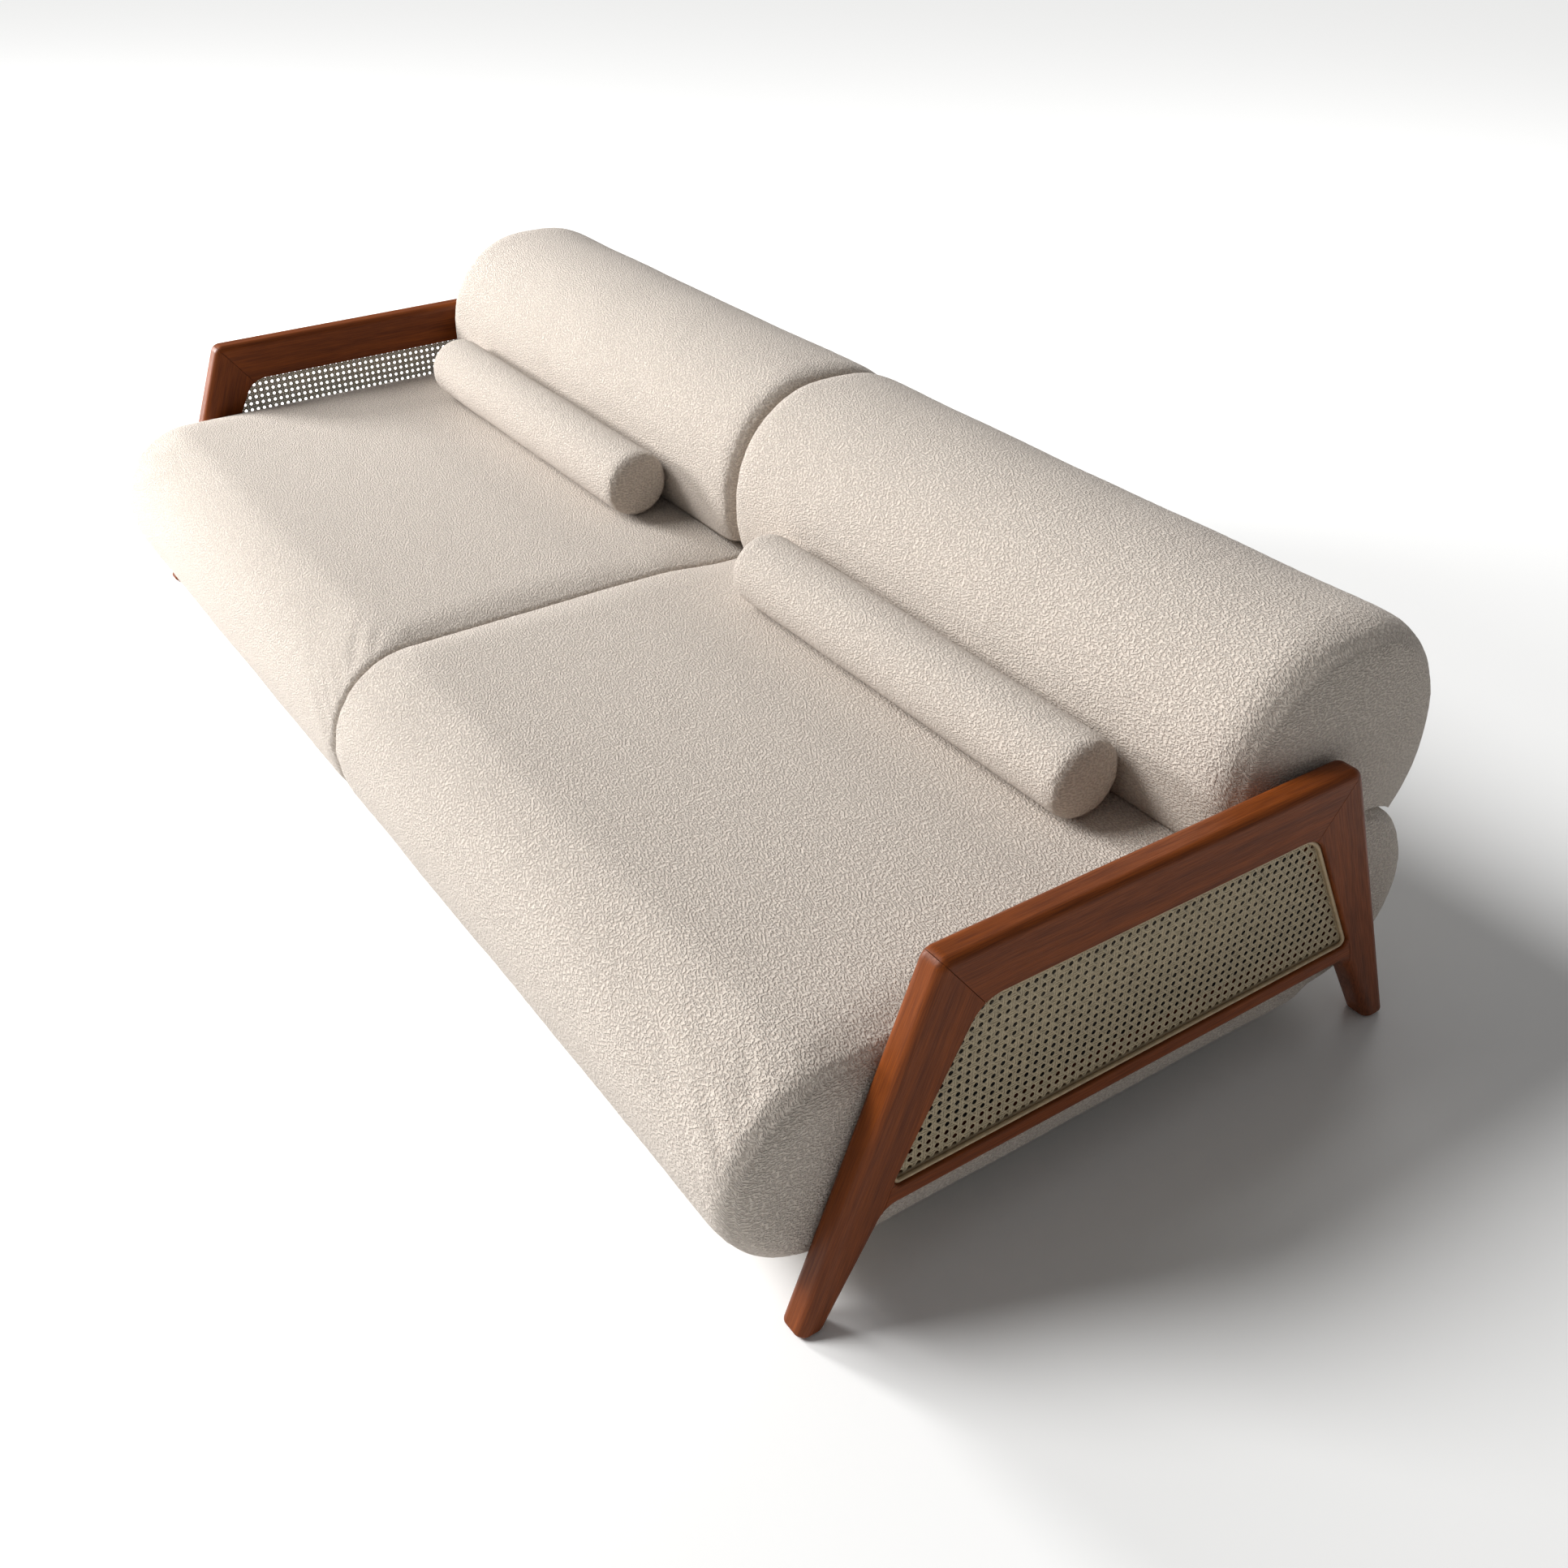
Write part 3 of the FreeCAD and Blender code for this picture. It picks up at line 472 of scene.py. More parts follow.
def rounded_log(low, high, end_radius):
    """A cylinder along X whose two rims are rounded."""
    bm = bmesh.new()
    radius = (high.z - low.z) / 2
    turn = Matrix.Rotation(math.pi / 2, 4, "Y")
    middle = Matrix.Translation((low + high) / 2)
    bmesh.ops.create_cone(bm, cap_ends=True, segments=72, radius1=radius, radius2=radius,
                          depth=high.x - low.x, matrix=middle @ turn)
    for x in (low.x, high.x):
        rim = [e for e in bm.edges if all(abs(v.co.x - x) < 1e-5 for v in e.verts)]
        bmesh.ops.bevel(bm, geom=rim, offset=end_radius, segments=7, profile=0.5,
                        affect="EDGES", material=-1)
    return bm


def even_grid(thing, spacing):
    """Rebuild the surface as even squares, as cloth needs."""
    remesh = thing.modifiers.new("grid", "REMESH")
    remesh.mode = "VOXEL"
    remesh.voxel_size = spacing
    apply_modifiers(thing)
    bm = bmesh.new()
    bm.from_mesh(thing.data)
    smoothing_rounds = 4
    for _ in range(smoothing_rounds):
        bmesh.ops.smooth_vert(bm, verts=bm.verts, factor=0.5, use_axis_x=True, use_axis_y=True,
                              use_axis_z=True)
    bm.to_mesh(thing.data)
    bm.free()
    return thing


def press_out(thing, cap):
    """Blow the cover out between its sewn rims and its stapled underside, as foam does."""
    start = positions(thing.data).copy()
    normals = vertex_normals(thing.data)
    turned = np.abs(normals[:, 0])
    along_seam = (turned > 0.45) & (turned < 0.88)
    stapled = normals[:, 2] < -0.35
    sewn = np.nonzero(along_seam | stapled)[0]
    rim = thing.vertex_groups.new(name="sewn_rim")
    rim.add([int(i) for i in sewn], 1.0, "REPLACE")
    cloth = thing.modifiers.new("cover", "CLOTH")
    cloth.settings.use_pressure = True
    cloth.settings.uniform_pressure_force = 4.0
    cloth.settings.effector_weights.gravity = 0.0
    cloth.settings.vertex_group_mass = rim.name
    cloth.settings.quality = 5
    frames = 20
    cloth.point_cache.frame_start = 1
    cloth.point_cache.frame_end = frames
    for step in range(1, frames + 1):
        bpy.context.scene.frame_set(step)
    settled = positions(baked(thing))
    bpy.context.scene.frame_set(1)
    thing.modifiers.clear()
    thing.vertex_groups.clear()
    moved = settled - start
    length = np.linalg.norm(moved, axis=1, keepdims=True)
    move_to(thing.data, start + moved * np.minimum(1.0, cap / np.maximum(length, 1e-9)))


def refine(thing, levels):
    smooth = thing.modifiers.new("smooth", "SUBSURF")
    smooth.levels = levels
    smooth.render_levels = levels
    return apply_modifiers(thing)


def ruffle(thing, slow, slow_size, knot, knot_size, seam):
    """Slow waves in the padding, small lumps of the looped cloth, and the end panels' seams."""
    places = positions(thing.data)
    normals = vertex_normals(thing.data)
    lift = np.array([slow * noise.noise(Vector(p / slow_size))
                     + knot * noise.noise(Vector(p / knot_size)) for p in places])
    lift -= seam * np.exp(-((np.abs(normals[:, 0]) - END_PANEL_TURN) / 0.09) ** 2)
    move_to(thing.data, places + normals * lift[:, None])


def lay_cloth(mesh, centre_y, centre_z, half_core):
    """Lay the cloth's own UV map: rows run along X on the wrap and along Y on the end panels."""
    count = len(mesh.loops)
    index = np.empty(count, dtype=np.int64)
    mesh.loops.foreach_get("vertex_index", index)
    corner = positions(mesh)[index]
    normals = np.empty(len(mesh.polygons) * 3)
    mesh.polygon_normals.foreach_get("vector", normals)
    sizes = np.empty(len(mesh.polygons), dtype=np.int64)
    mesh.polygons.foreach_get("loop_total", sizes)
    on_end = np.repeat(np.abs(normals.reshape(-1, 3)[:, 0]) > END_PANEL_TURN, sizes)
    offset = corner[:, 1] - centre_y
    rise = corner[:, 2] - centre_z
    beyond = np.maximum(np.abs(offset) - half_core, 0.0)
    radius = np.hypot(beyond, rise)
    flat = np.where(rise > 0, np.abs(offset), 2 * half_core + math.pi * np.abs(rise) - np.abs(offset))
    curved = half_core + radius * np.arctan2(beyond, rise)
    run = np.copysign(np.where(beyond > 0, curved, flat), offset)
    across = np.where(on_end, corner[:, 1], corner[:, 0])
    upward = np.where(on_end, corner[:, 2] + 3.0, run)
    layer = mesh.uv_layers.new(name="cloth")
    layer.data.foreach_set("uv", np.column_stack((across, upward)).ravel())


def seat_surface(depth):
    """Height of the seat's top and rounded rear edge at each depth along Y."""
    low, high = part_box("right_seat_cover")
    radius = (high.z - low.z) / 2
    core = SEAT_REAR - radius
    beyond = np.clip(depth - core, 0.0, radius)
    return (high.z + low.z) / 2 + np.sqrt(radius ** 2 - beyond ** 2)


def sink_post_mouths(side, places, seat_middle):
    """Sink a narrow well in the seat's top at each post socket, so that an empty socket is a hole."""
    low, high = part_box(f"{side}_back_posts")
    sockets_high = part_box("post_sockets")[1].z
    radius = (high.y - low.y) / 2
    for x in (low.x + radius, high.x - radius):
        offset = places[:, :2] - (x, (low.y + high.y) / 2)
        reach = np.linalg.norm(offset, axis=1)
        above = places[:, 2] > seat_middle
        # the well is a little narrower than the post, and the cloth round it is drawn up to its rim
        well = above & (reach < 0.9 * radius)
        collar = above & (reach >= 0.9 * radius) & (reach < 1.65 * radius)
        places[collar, :2] += offset[collar] * (1.18 * radius / reach[collar] - 1.0)[:, None]
        places[collar, 2] = sockets_high - 0.0008
        places[well, 2] = low.z


def paint_shade_on_hidden_end(mesh):
    """Mark the part of a seat's outer end that the side frame hides, where the cloth is painted near black
    as painted shade.
    """
    places = positions(mesh)
    across, depth, level = np.abs(places).T
    (top_y, top_z), (low_y, low_z) = JOINT_LINES[0][0], JOINT_LINES[1][0]
    lap = 0.03
    seat_outer = 1.3
    painted_shade_low, painted_shade_high = 0.182, 0.398
    frame_half = top_y + (top_z - level) * (low_y - top_y) / (top_z - low_z) + lap
    painted_shade_mask = ((across > seat_outer) & (depth < frame_half) & (level > painted_shade_low)
              & (level < painted_shade_high))
    # painted shade mask: 1 where the end is painted near black, 0 elsewhere
    layer = mesh.attributes.new("lining", "FLOAT", "POINT")
    layer.data.foreach_set("value", painted_shade_mask.astype(float))


# ---------------------------------------------------------------- upholstery pieces

def seat_cushion(side, sizes, material):
    low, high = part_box(f"{side}_seat_cover")
    radius = (high.z - low.z) / 2 - 0.0006
    start, stop = past_middle(side, low, high)
    shape = rounded_block(start, stop, (radius,) * 4,
                          end_radii(side, sizes.seat_edge, sizes.joined_edge))
    seat = from_bmesh(f"{side}_seat_upholstery", shape)
    square_lower_rim(side, seat, low, high, sizes.seat_edge)
    even_grid(seat, sizes.seat_grid)
    press_out(seat, sizes.seat_crown)
    refine(seat, 1)
    ruffle(seat, slow=0.0018, slow_size=0.19, knot=0.0006, knot_size=0.011, seam=sizes.seam_depth)
    places = positions(seat.data)
    places[:, 0] = np.clip(places[:, 0], start.x, stop.x)
    fit_between(places, 1, low.y, SEAT_REAR)
    meet_in_middle(side, places)
    front_crown = FRONT_CROWN * (1.0 - smooth_step(places[:, 1], -0.12, 0.03))
    places[:, 2] = soft_limit(places[:, 2], high.z + front_crown, 2.0 * FRONT_CROWN)
    sink = smooth_step(places[:, 1], 0.02, 0.2) * (1.0 - smooth_step(np.abs(places[:, 0]), 0.0, 0.2))
    places[:, 2] -= REAR_SINK * sink * smooth_step(places[:, 2], low.z + radius, high.z)
    places[:, 2] = np.maximum(places[:, 2], low.z + 0.0002)
    sink_post_mouths(side, places, low.z + radius)
    move_to(seat.data, places)
    # painted shade: the end behind the cane is coloured near black where the frame hides it
    paint_shade_on_hidden_end(seat.data)
    lay_cloth(seat.data, 0.0, (low.z + high.z) / 2, high.y - radius)
    finish_piece(seat, "base", material, [f"{side}_seat_cover", f"{side}_seat_foam"])
    return seat


def back_cushion(side, sizes, material):
    low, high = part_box(f"{side}_back_cover")
    full_low = Vector((low.x, low.y, high.z - ROLL_HEIGHT))
    start, stop = past_middle(side, full_low, high)
    shape = rounded_block(start, stop, (ROLL_RADIUS,) * 4,
                          end_radii(side, sizes.back_edge, sizes.joined_edge))
    back = even_grid(from_bmesh(f"{side}_back_upholstery", shape), sizes.seat_grid)
    press_out(back, sizes.seat_crown)
    refine(back, 1)
    ruffle(back, slow=0.0018, slow_size=0.17, knot=0.0006, knot_size=0.011, seam=sizes.seam_depth)
    places = positions(back.data)
    fit_between(places, 0, start.x, stop.x)
    fit_between(places, 1, low.y, high.y)
    fit_between(places, 2, full_low.z, high.z)
    meet_in_middle(side, places)
    bed = seat_surface(places[:, 1]) + CLEARANCE
    places[:, 2] = np.maximum(places[:, 2], bed)
    move_to(back.data, places)
    lay_cloth(back.data, (low.y + high.y) / 2, high.z - ROLL_HEIGHT / 2,
              (high.y - low.y) / 2 - ROLL_RADIUS)
    finish_piece(back, f"{side}_backrest", material,
                 [f"{side}_back_cover", f"{side}_back_foam"])
    return back


def bolster_cushion(side, sizes, material):
    low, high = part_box(f"{side}_bolster_cover")
    shape = rounded_log(low, high, sizes.bolster_edge)
    bolster = even_grid(from_bmesh(f"{side}_bolster_upholstery", shape), sizes.bolster_grid)
    press_out(bolster, CLEARANCE)
    refine(bolster, 1)
    ruffle(bolster, slow=0.0008, slow_size=0.12, knot=0.0005, knot_size=0.009,
           seam=sizes.seam_depth * 0.6)
    places = positions(bolster.data)
    places[:, 2] = np.maximum(places[:, 2], low.z - 0.0002)
    places[:, 1] = np.minimum(places[:, 1], high.y + 0.0003)
    zip_low, zip_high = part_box(f"{side}_bolster_zip")
    beside_zip = ((places[:, 0] > zip_low.x - 0.004) & (places[:, 0] < zip_high.x + 0.004)
                  & (places[:, 2] > zip_low.z - 0.002) & (places[:, 2] < zip_high.z + 0.002))
    places[beside_zip, 1] = np.minimum(places[beside_zip, 1], zip_high.y - 0.0020)
    move_to(bolster.data, places)
    lay_cloth(bolster.data, (low.y + high.y) / 2, (low.z + high.z) / 2, 0.0)
    finish_piece(bolster, f"{side}_bolster", material,
                 [f"{side}_bolster_cover", f"{side}_bolster_foam"])
    return bolster


def add_block(bm, centre, size, rounding=0.0):
    """Add a block, with its edges rounded if a radius is given."""
    made = bmesh.ops.create_cube(bm, size=1.0, matrix=Matrix.LocRotScale(centre, None, Vector(size)))
    if rounding > 0.0:
        edges = list({edge for corner in made["verts"] for edge in corner.link_edges})
        bmesh.ops.bevel(bm, geom=edges, offset=rounding, segments=2, profile=0.5, affect="EDGES",
                        material=-1)


def bolster_zip(side, material):
    """A coil zip let into the bolster's rear: two tapes, meshed teeth, end stops, slider and pull."""
    low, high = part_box(f"{side}_bolster_zip")
    middle = (low + high) / 2
    length = high.x - low.x
    tape_y = high.y - 0.0015
    bm = bmesh.new()
    for sign in (-1.0, 1.0):
        add_block(bm, Vector((middle.x, tape_y, middle.z + sign * 0.0034)), (length, 0.0006, 0.0050),
                  0.0002)
        add_block(bm, Vector((middle.x + sign * (length / 2 - 0.004), tape_y + 0.0004, middle.z)),
                  (0.003, 0.0010, 0.0056), 0.0003)
    pitch = 0.0028
    for k in range(int((length - 0.014) / pitch)):
        sign = 1.0 if k % 2 else -1.0
        place = Vector((low.x + 0.0085 + k * pitch, tape_y + 0.0004, middle.z + sign * 0.0006))
        add_block(bm, place, (0.0017, 0.0010, 0.0030))
    add_block(bm, Vector((high.x - 0.012, tape_y + 0.0007, middle.z)), (0.010, 0.0014, 0.0084), 0.0004)
    add_block(bm, Vector((high.x - 0.024, tape_y + 0.0010, middle.z)), (0.020, 0.0007, 0.0046), 0.0002)
    piece = from_bmesh(f"{side}_bolster_coil_zip", bm)
    finish_piece(piece, f"{side}_bolster", material, [f"{side}_bolster_zip"])
    piece.data.set_sharp_from_angle(angle=CRISP_EDGE)
    return piece


def seat_lining(side, material):
    """The lining stapled under a seat: flat along its edges and sagging a little between them."""
    low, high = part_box(f"{side}_dust_cover")
    span = high - low
    bm = bmesh.new()
    bmesh.ops.create_grid(bm, x_segments=96, y_segments=74, size=0.5,
                          matrix=Matrix.LocRotScale((low + high) / 2, None, Vector((span.x, span.y, 1.0))))
    lining = from_bmesh(f"{side}_seat_lining", bm)
    places = positions(lining.data)
    edge = np.minimum(np.minimum(places[:, 0] - low.x, high.x - places[:, 0]),
                      np.minimum(places[:, 1] - low.y, high.y - places[:, 1]))
    waves = np.array([noise.noise(Vector((p[0] / 0.16, p[1] / 0.16, 0.0))) for p in places])
    places[:, 2] = low.z + 0.0006 - (0.0035 + 0.0025 * waves) * smooth_step(edge, 0.06, 0.30)
    move_to(lining.data, places)
    wall = lining.modifiers.new("wall", "SOLIDIFY")
    wall.thickness = 0.0006
    finish_piece(lining, "base", material, [f"{side}_dust_cover"])
    return lining


# ---------------------------------------------------------------- cane

def window_outline(side):
    """The cane window's outline in Y and Z, anticlockwise, from the bead's outer edge."""
    vertices = frame["nodes"][f"{side}_cane_beads"].data.vertices
    distinct = sorted({(round(v.co.y, 4), round(v.co.z, 4)) for v in vertices})
    places = [Vector(pair) for pair in distinct]
    return [places[i] for i in geometry.convex_hull_2d(places)]


def inset(outline, margin):
    """The outline moved inwards by a margin."""
    count = len(outline)
    moved = []
    for i in range(count):
        along = (outline[(i + 1) % count] - outline[i - 1]).normalized()
        moved.append(outline[i] + Vector((-along.y, along.x)) * margin)
    return moved


def clip_line(start, direction, outline):
    """Where a line enters and leaves a convex outline, as distances from its start."""
    enter, leave = -10.0, 10.0
    for a, b in zip(outline, outline[1:] + outline[:1]):
        inward = Vector((a.y - b.y, b.x - a.x))
        gap = (start - a).dot(inward)
        speed = direction.dot(inward)
        if abs(speed) < 1e-12:
            if gap < 0:
                return None
        elif speed > 0:
            enter = max(enter, -gap / speed)
        else:
            leave = min(leave, -gap / speed)
    return (enter, leave) if leave - enter > 0.004 else None


def add_strand(curve, points):
    spline = curve.splines.new("POLY")
    spline.points.add(len(points) - 1)
    for point, place in zip(spline.points, points):
        point.co = (*place, 1.0)


def strand_section(width, thickness):
    """A flat strip's section with its upper arrises taken off."""
    section = bpy.data.curves.new("strand_section", "CURVE")
    spline = section.splines.new("POLY")
    outline = [(-0.5, -0.5), (0.5, -0.5), (0.5, 0.1), (0.0, 0.5), (-0.5, 0.1)]
    spline.points.add(len(outline) - 1)
    for point, (a, b) in zip(spline.points, outline):
        point.co = (a * width, b * thickness, 0.0, 1.0)
    spline.use_cyclic_u = True
    return new_object("strand_section", section)


def weave_lines(outline, pitch, spread):
    """Start, direction, and height rule of every strand in the six-way weave."""
    middle = sum((max(p.y for p in outline), min(p.y for p in outline))) / 2
    reach = max(p.x for p in outline)
    rows = int((max(p.y for p in outline) - middle) / pitch) + 2
    columns = int(reach / pitch) + 2
    diagonals = rows + columns + 2
    lines = []
    for k in range(-columns, columns):
        for shift in (-spread, spread):
            lines.append((Vector(((k + 0.5) * pitch + shift, middle)), Vector((0.0, 1.0)),
                          lambda y, z, k=k: PAIR_RISE * (-1) ** k * math.cos(math.pi * (z / pitch - 0.5))))
    for j in range(-rows, rows):
        for shift in (-spread, spread):
            lines.append((Vector((0.0, middle + (j + 0.5) * pitch + shift)), Vector((1.0, 0.0)),
                          lambda y, z, j=j: -PAIR_RISE * (-1) ** j * math.cos(math.pi * (y / pitch - 0.5))))
    for slope in (1.0, -1.0):
        for k in range(-diagonals, diagonals):
            lines.append((Vector(((k + 0.5) * pitch, middle)), Vector((1.0, slope)),
                          lambda y, z, s=slope: -s * DIAGONAL_RISE * math.cos(2 * math.pi * y / pitch)))
    return middle, lines


def cane_weave(side, sizes, material):
    """Six-way cane webbing, strand by strand: pairs up, pairs across, and single diagonals."""
    low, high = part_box(f"{side}_cane_panel")
    pitch = sizes.cane_pitch
    outline = inset(window_outline(side), 0.0015)
    middle, lines = weave_lines(outline, pitch, sizes.cane_strand * 0.62)
    curve = bpy.data.curves.new(f"{side}_weave", "CURVE")
    curve.dimensions = "3D"
    curve.twist_mode = "Z_UP"
    for start, direction, level in lines:
        span = clip_line(start, direction, outline)
        if span is None:
            continue
        step = pitch / 4 if direction.x and direction.y else pitch / 2
        first = math.ceil(span[0] / step + 0.05)
        last = math.floor(span[1] / step - 0.05)
        stops = [span[0], *(n * step for n in range(first, last + 1)), span[1]]
        places = [start + direction * stop for stop in stops]
        add_strand(curve, [(p.x, p.y, level(p.x, p.y - middle)) for p in places])
    section = strand_section(sizes.cane_strand, STRAND_THICKNESS)
    curve.bevel_mode = "OBJECT"
    curve.bevel_object = section
    curve.use_fill_caps = True
    source = new_object(f"{side}_weave_lines", curve)
    mesh = baked(source, f"{side}_cane_weave")
    outward = 1.0 if side == "right" else -1.0
    level = (low.x + high.x) / 2
    mesh.transform(Matrix(((0, 0, outward, level), (1, 0, 0, 0), (0, 1, 0, 0), (0, 0, 0, 1))))
    if outward < 0:
        mesh.flip_normals()
    for spare in (source, section):
        bpy.data.objects.remove(spare)
    weave = new_object(f"{side}_cane_weave", mesh)
    return finish_piece(weave, "base", material, [f"{side}_cane_panel"])


def cane_bead(side, material):
    """A round cane bead pressed into the groove on each face of the panel."""
    low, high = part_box(f"{side}_cane_beads")
    outline = inset(window_outline(side), BEAD_RADIUS)
    curve = bpy.data.curves.new(f"{side}_bead", "CURVE")
    curve.dimensions = "3D"
    curve.twist_mode = "Z_UP"
    outward = BEAD_STEP if side == "right" else -BEAD_STEP
    for level in (high.x - BEAD_RADIUS + max(outward, 0.0), low.x + BEAD_RADIUS + min(outward, 0.0)):
        add_strand(curve, [(p.x, p.y, level) for p in outline])
        curve.splines[-1].use_cyclic_u = True
    curve.bevel_depth = BEAD_RADIUS
    curve.bevel_resolution = 3
    source = new_object(f"{side}_bead_lines", curve)
    mesh = baked(source, f"{side}_cane_bead_rings")
    mesh.transform(Matrix(((0, 0, 1, 0), (1, 0, 0, 0), (0, 1, 0, 0), (0, 0, 0, 1))))
    bpy.data.objects.remove(source)
    rings = new_object(f"{side}_cane_bead_rings", mesh)
    return finish_piece(rings, "base", material, [f"{side}_cane_beads"])


# ---------------------------------------------------------------- timber

def open_joints(bm, gap):
    """Cut half of a fine groove round the piece at each glued joint, with its core left in contact."""
    for (near_y, near_z), (far_y, far_z) in JOINT_LINES:
        normal = Vector((far_z - near_z, near_y - far_y)).normalized()
        start = Vector((near_y, near_z))
        offsets = {v: (Vector((abs(v.co.y), v.co.z)) - start).dot(normal) for v in bm.verts}
        side = math.copysign(gap / 2, sum(offsets.values()))
        low, high = sorted((near_z, far_z))
        moved = {v for v, offset in offsets.items()
                 if abs(offset) < 5e-5 and low - 0.02 < v.co.z < high + 0.02}
        for v in moved:
            v.co.y += math.copysign(normal.x * side, v.co.y * normal.x * side)
            v.co.z += normal.y * side
        bm.normal_update()
        ends = [face for face in bm.faces if moved.issuperset(face.verts)]
        if ends:
            bmesh.ops.inset_region(bm, faces=ends, thickness=GROOVE_DEPTH, depth=gap / 2,
                                   use_boundary=True, use_even_offset=True)


def jointed_timber(node, gap, material):
    """The modelled piece with crisp arrises and a fine groove round each glued joint."""
    bm = bmesh.new()
    bm.from_mesh(frame["nodes"][node].data)
    bmesh.ops.remove_doubles(bm, verts=bm.verts, dist=1e-5)
    bmesh.ops.dissolve_limit(bm, angle_limit=math.radians(0.4), verts=bm.verts, edges=bm.edges)
    open_joints(bm, gap)
    piece = from_bmesh(node + "_timber", bm)
    for spare in [a for a in piece.data.attributes if a.name == "custom_normal"]:
        piece.data.attributes.remove(spare)
    finish_piece(piece, "base", material, [node])
    piece.data.set_sharp_from_angle(angle=CRISP_EDGE)
    even = piece.modifiers.new("even", "WEIGHTED_NORMAL")
    even.keep_sharp = True
    return piece


# ---------------------------------------------------------------- operators

class DAYBED_OT_timber(bpy.types.Operator):
    """Draw the side frames' joints as fine lines and give each piece grain along its length"""
    bl_idname = "daybed.timber"
    bl_label = "Timber side frames"

    def execute(self, context):
        settings = context.scene
        rail = timber_material("stained_beech_rail", settings.daybed_colours, 0.0)
        front = timber_material("stained_beech_front_leg", settings.daybed_colours,
                                -(math.pi / 2 - LEG_SPLAY))
        rear = timber_material("stained_beech_rear_leg", settings.daybed_colours,
                               math.pi / 2 - LEG_SPLAY)
        finishes = {"front_leg": front, "rear_leg": rear, "arm_rail": rail, "lower_rail": rail}
        for side in SIDES:
            for part, finish in finishes.items():
                jointed_timber(f"{side}_{part}", settings.daybed_sizes.joint_gap, finish)
        return {"FINISHED"}


class DAYBED_OT_cane(bpy.types.Operator):
    """Weave the cane panels and lay the beads round them"""
    bl_idname = "daybed.cane"
    bl_label = "Cane panels"

    def execute(self, context):
        colours = context.scene.daybed_colours
        # strands of cane skin: glossy and buff, with streaks along the weave
        skin = cane_material("rattan_cane", colours.cane, (1 / 0.004, 1 / 0.009, 1 / 0.009))
        # round cane bead: the same skin, a little warmer, with longer streaks
        core = cane_material("cane_bead", colours.bead, (1 / 0.004, 1 / 0.012, 1 / 0.012))
        for side in SIDES:
            cane_weave(side, context.scene.daybed_sizes, skin)
            cane_bead(side, core)
        return {"FINISHED"}


class DAYBED_OT_seats(bpy.types.Operator):
    """Upholster the two seats in boucle and line them beneath"""
    bl_idname = "daybed.seats"
    bl_label = "Seats"

    def execute(self, context):
        boucle = boucle_material(context.scene.daybed_colours)
        # woven cotton lining: pale, quite matt, with a faint slubby weave
        lining = plain_material("cotton_lining", srgb("#B9AFA2"), 0.95, 0.0, 0.0015, 0.3)
        for side in SIDES:
            seat_cushion(side, context.scene.daybed_sizes, boucle)
            seat_lining(side, lining)
        return {"FINISHED"}


class DAYBED_OT_backrests(bpy.types.Operator):
    """Upholster the two roll backrests in boucle"""
    bl_idname = "daybed.backrests"
    bl_label = "Backrests"

    def execute(self, context):
        boucle = boucle_material(context.scene.daybed_colours)
        for side in SIDES:
            back_cushion(side, context.scene.daybed_sizes, boucle)
        return {"FINISHED"}


class DAYBED_OT_bolsters(bpy.types.Operator):
    """Upholster the two bolsters in boucle and let in their zips"""
    bl_idname = "daybed.bolsters"
    bl_label = "Bolsters"

    def execute(self, context):
        boucle = boucle_material(context.scene.daybed_colours)
        # polyester zip: cream tape and coil, matt with a fine weave
        zip_finish = plain_material("polyester_zip", srgb("#CFC4B4"), 0.85, 0.0, 0.002, 0.25)
        for side in SIDES:
            bolster_cushion(side, context.scene.daybed_sizes, boucle)
            bolster_zip(side, zip_finish)
        return {"FINISHED"}


class DAYBED_OT_fittings(bpy.types.Operator):
    """Finish the carcass, hardware, webbing and glides that the model holds already"""
    bl_idname = "daybed.fittings"
    bl_label = "Carcass and fittings"

    def execute(self, context):
        finishes = {
            # planed pine: pale and matt, with a cloudy figure
            "carcass_timber": plain_material("planed_pine", srgb("#C7A271"), 0.7, 0.0, 0.01, 0.25),
            # rubber strands under woven polyester: dark, matt and ribbed
            "elastic_webbing": plain_material("elastic_webbing", srgb("#2E2A26"), 0.9, 0.0, 0.003,
                                              0.35),
            # moulded nylon: near black, with the soft sheen of a spark-eroded mould
            "nylon": plain_material("moulded_nylon", srgb("#1C1A18"), 0.55, 0.0, 0.004, 0.15),
            # powder coat on steel: black, with a fine orange peel
            "black_steel": plain_material("powder_coated_steel", srgb("#17171A"), 0.5, 0.0, 0.001,
                                          0.2),
            # bright zinc plate: a cool, slightly cloudy metal
            "zinc_steel": plain_material("bright_zinc_plate", srgb("#B4B6B8"), 0.35, 1.0, 0.004, 0.2),
        }
        for entry in frame["record"]["subparts"]:
            if entry["material_slot"] in finishes:
                node = frame["nodes"][entry["node"]]
                node.data.materials.clear()
                node.data.materials.append(finishes[entry["material_slot"]])
        return {"FINISHED"}


class DAYBED_OT_stage(bpy.types.Operator):
    """Floor, studio lights and the camera"""
    bl_idname = "daybed.stage"
    bl_label = "Stage"

    def execute(self, context):
        bm = bmesh.new()
        bmesh.ops.create_grid(bm, x_segments=1, y_segments=1, size=40.0)
        floor = from_bmesh("studio_floor", bm)
        # matt white paint: bright, with no highlight
        material, tree = new_material("matt_white_floor")
        shader = add(tree, "ShaderNodeBsdfPrincipled",
                     {"Base Color": rgba(context.scene.daybed_colours.floor), "Roughness": 0.9})
        finish_material(tree, shader)
        floor.data.materials.append(material)
        set_lights(context.scene)
        set_camera(context.scene)
        return {"FINISHED"}


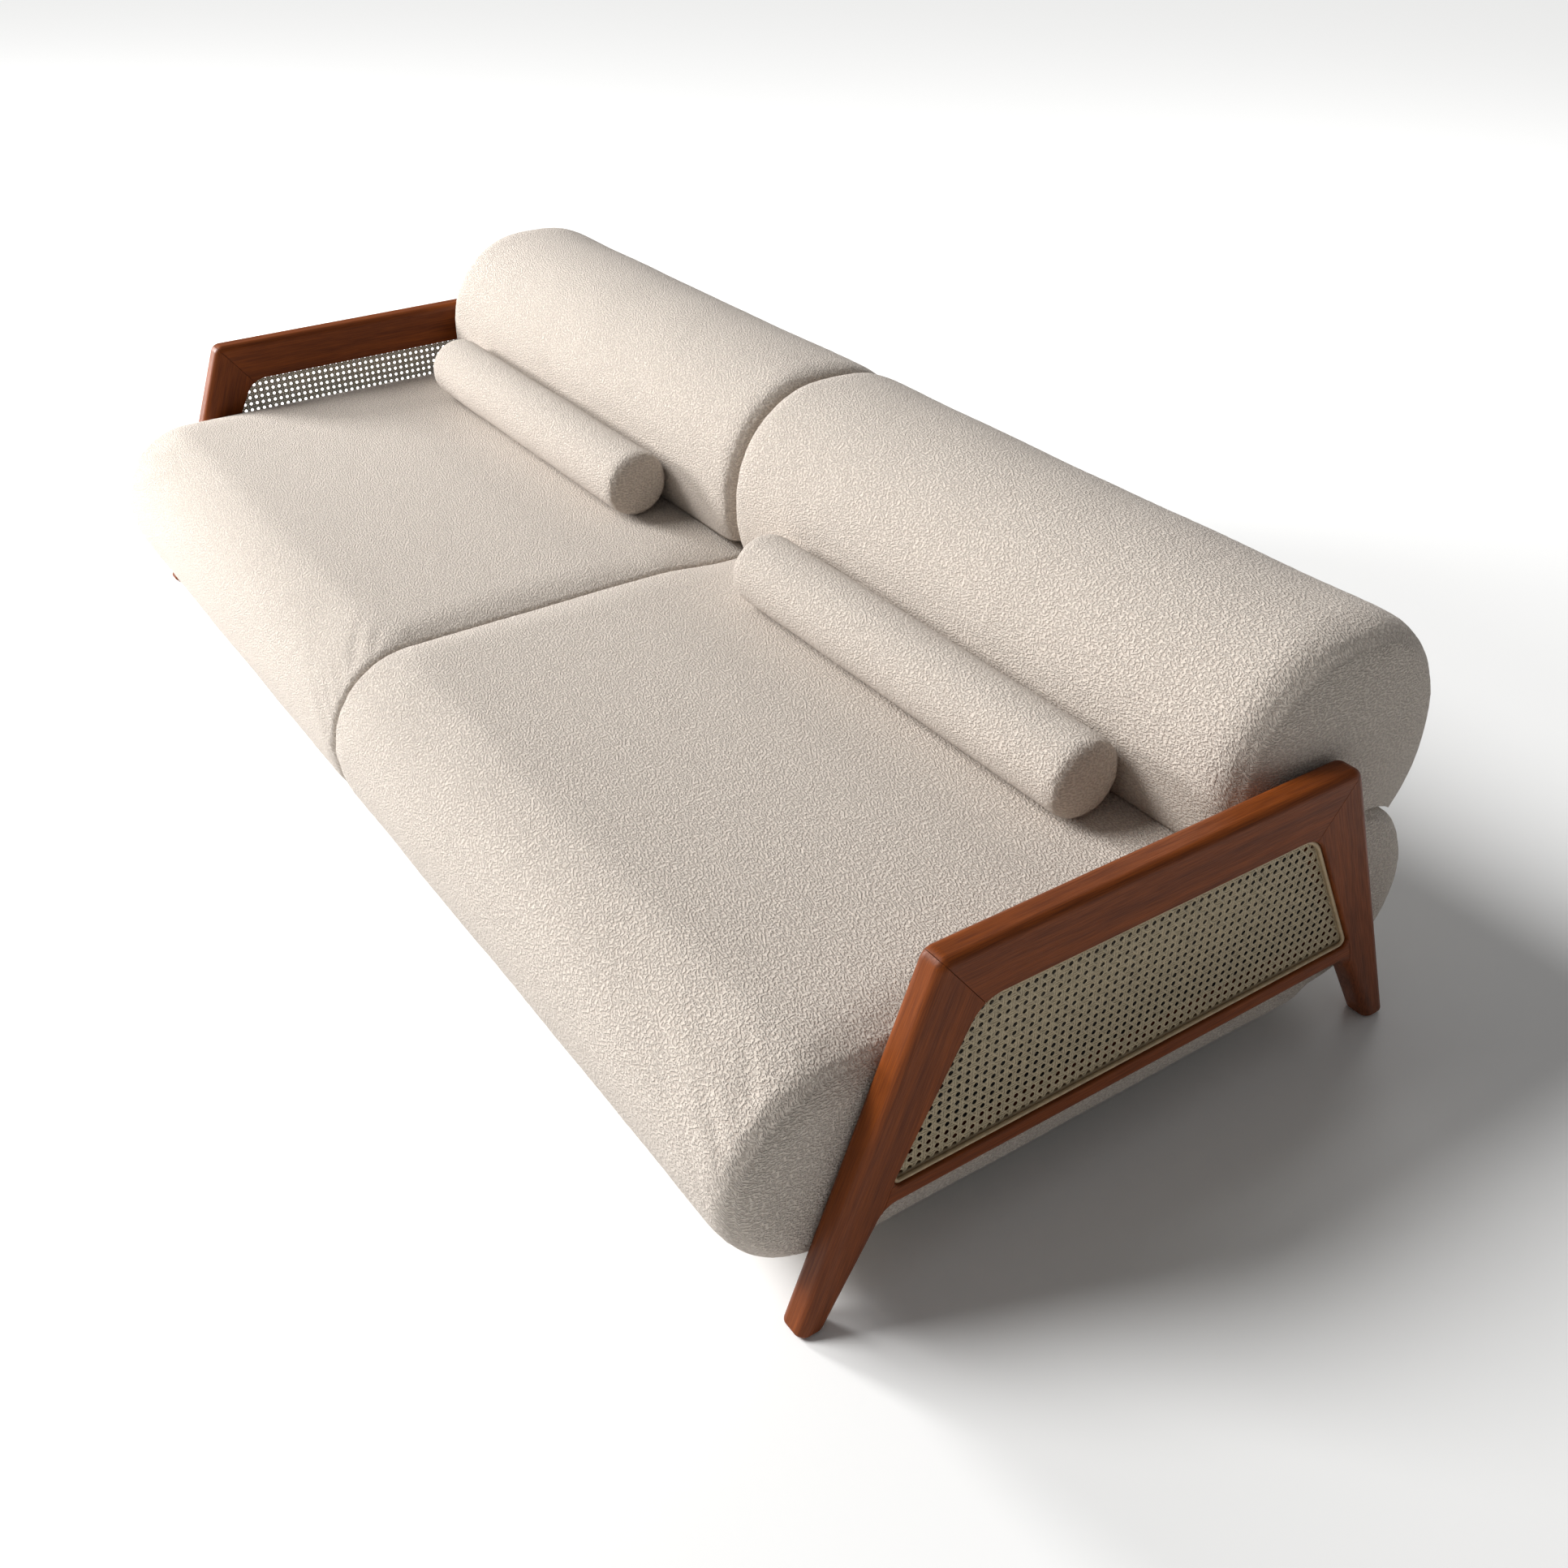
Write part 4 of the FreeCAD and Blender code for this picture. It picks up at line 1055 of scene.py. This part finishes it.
def set_lights(scene):
    """A low key from the left front, a faint rim from behind, and a broad soft light from above."""
    lamps = (
        ("key", (-4.2, -2.4, 1.7), 0.55, 1000.0),
        ("rim", (-1.5, 4.5, 3.2), 1.2, 130.0),
    )
    for name, place, radius, power in lamps:
        light = bpy.data.lights.new(name, "POINT")
        light.shadow_soft_size = radius
        light.energy = power
        lamp = new_object(name, light)
        lamp.location = place
        lamp.visible_camera = False
    sky = bpy.data.lights.new("overhead", "SUN")
    sky.energy = 3.3
    sky.angle = math.radians(28)
    overhead = new_object("overhead", sky)
    overhead.rotation_euler = Vector((0.66, 0.66, -0.78)).to_track_quat("-Z", "Y").to_euler()
    world = bpy.data.worlds.new("studio")
    world.use_nodes = True
    tree = world.node_tree
    tree.nodes.clear()
    path = add(tree, "ShaderNodeLightPath")
    fill = add(tree, "ShaderNodeBackground", {"Color": (1.0, 1.0, 1.0, 1.0), "Strength": 0.17})
    backdrop = add(tree, "ShaderNodeBackground", {"Color": (1.0, 1.0, 1.0, 1.0), "Strength": 0.9})
    seen = add(tree, "ShaderNodeMixShader", {0: path.outputs["Is Camera Ray"],
                                             1: fill.outputs["Background"],
                                             2: backdrop.outputs["Background"]})
    add(tree, "ShaderNodeOutputWorld", {"Surface": seen.outputs["Shader"]})
    scene.world = world
    scene.view_settings.view_transform = "Standard"


def set_camera(scene):
    """A camera above the right front corner, looking down along the daybed."""
    lens = bpy.data.cameras.new("camera")
    lens.sensor_width = 36.0
    lens.lens = 37.34
    lens.clip_end = 200.0
    camera = new_object("camera", lens)
    azimuth = math.radians(55.97)
    elevation = math.radians(33.53)
    roll = math.radians(-0.16)
    turn = (Matrix.Rotation(azimuth, 4, "Z") @ Matrix.Rotation(math.pi / 2 - elevation, 4, "X")
            @ Matrix.Rotation(roll, 4, "Z"))
    camera.matrix_world = Matrix.Translation((2.5554, -1.3982, 1.8343)) @ turn
    scene.camera = camera


class DAYBED_PT_panel(bpy.types.Panel):
    """Lists the daybed's steps and settings"""
    bl_idname = "DAYBED_PT_panel"
    bl_label = "Daybed"
    bl_space_type = "VIEW_3D"
    bl_region_type = "UI"
    bl_category = "Daybed"

    def draw(self, context):
        column = self.layout.column()
        for step in STEPS:
            column.operator(step.bl_idname)
        for group in (context.scene.daybed_sizes, context.scene.daybed_colours):
            for name in group.bl_rna.properties.keys():
                if name not in {"rna_type", "name"}:
                    column.prop(group, name)


STEPS = (DAYBED_OT_timber, DAYBED_OT_cane, DAYBED_OT_seats, DAYBED_OT_backrests, DAYBED_OT_bolsters,
         DAYBED_OT_fittings, DAYBED_OT_stage)
CLASSES = (DaybedSizes, DaybedColours, *STEPS, DAYBED_PT_panel)


def register():
    for item in CLASSES:
        bpy.utils.register_class(item)
    bpy.types.Scene.daybed_sizes = bpy.props.PointerProperty(type=DaybedSizes)
    bpy.types.Scene.daybed_colours = bpy.props.PointerProperty(type=DaybedColours)


def unregister():
    del bpy.types.Scene.daybed_colours
    del bpy.types.Scene.daybed_sizes
    for item in reversed(CLASSES):
        bpy.utils.unregister_class(item)


def main():
    register()
    bpy.ops.daybed.timber()
    bpy.ops.daybed.cane()
    bpy.ops.daybed.seats()
    bpy.ops.daybed.backrests()
    bpy.ops.daybed.bolsters()
    bpy.ops.daybed.fittings()
    bpy.ops.daybed.stage()


if __name__ == "__main__":
    main()
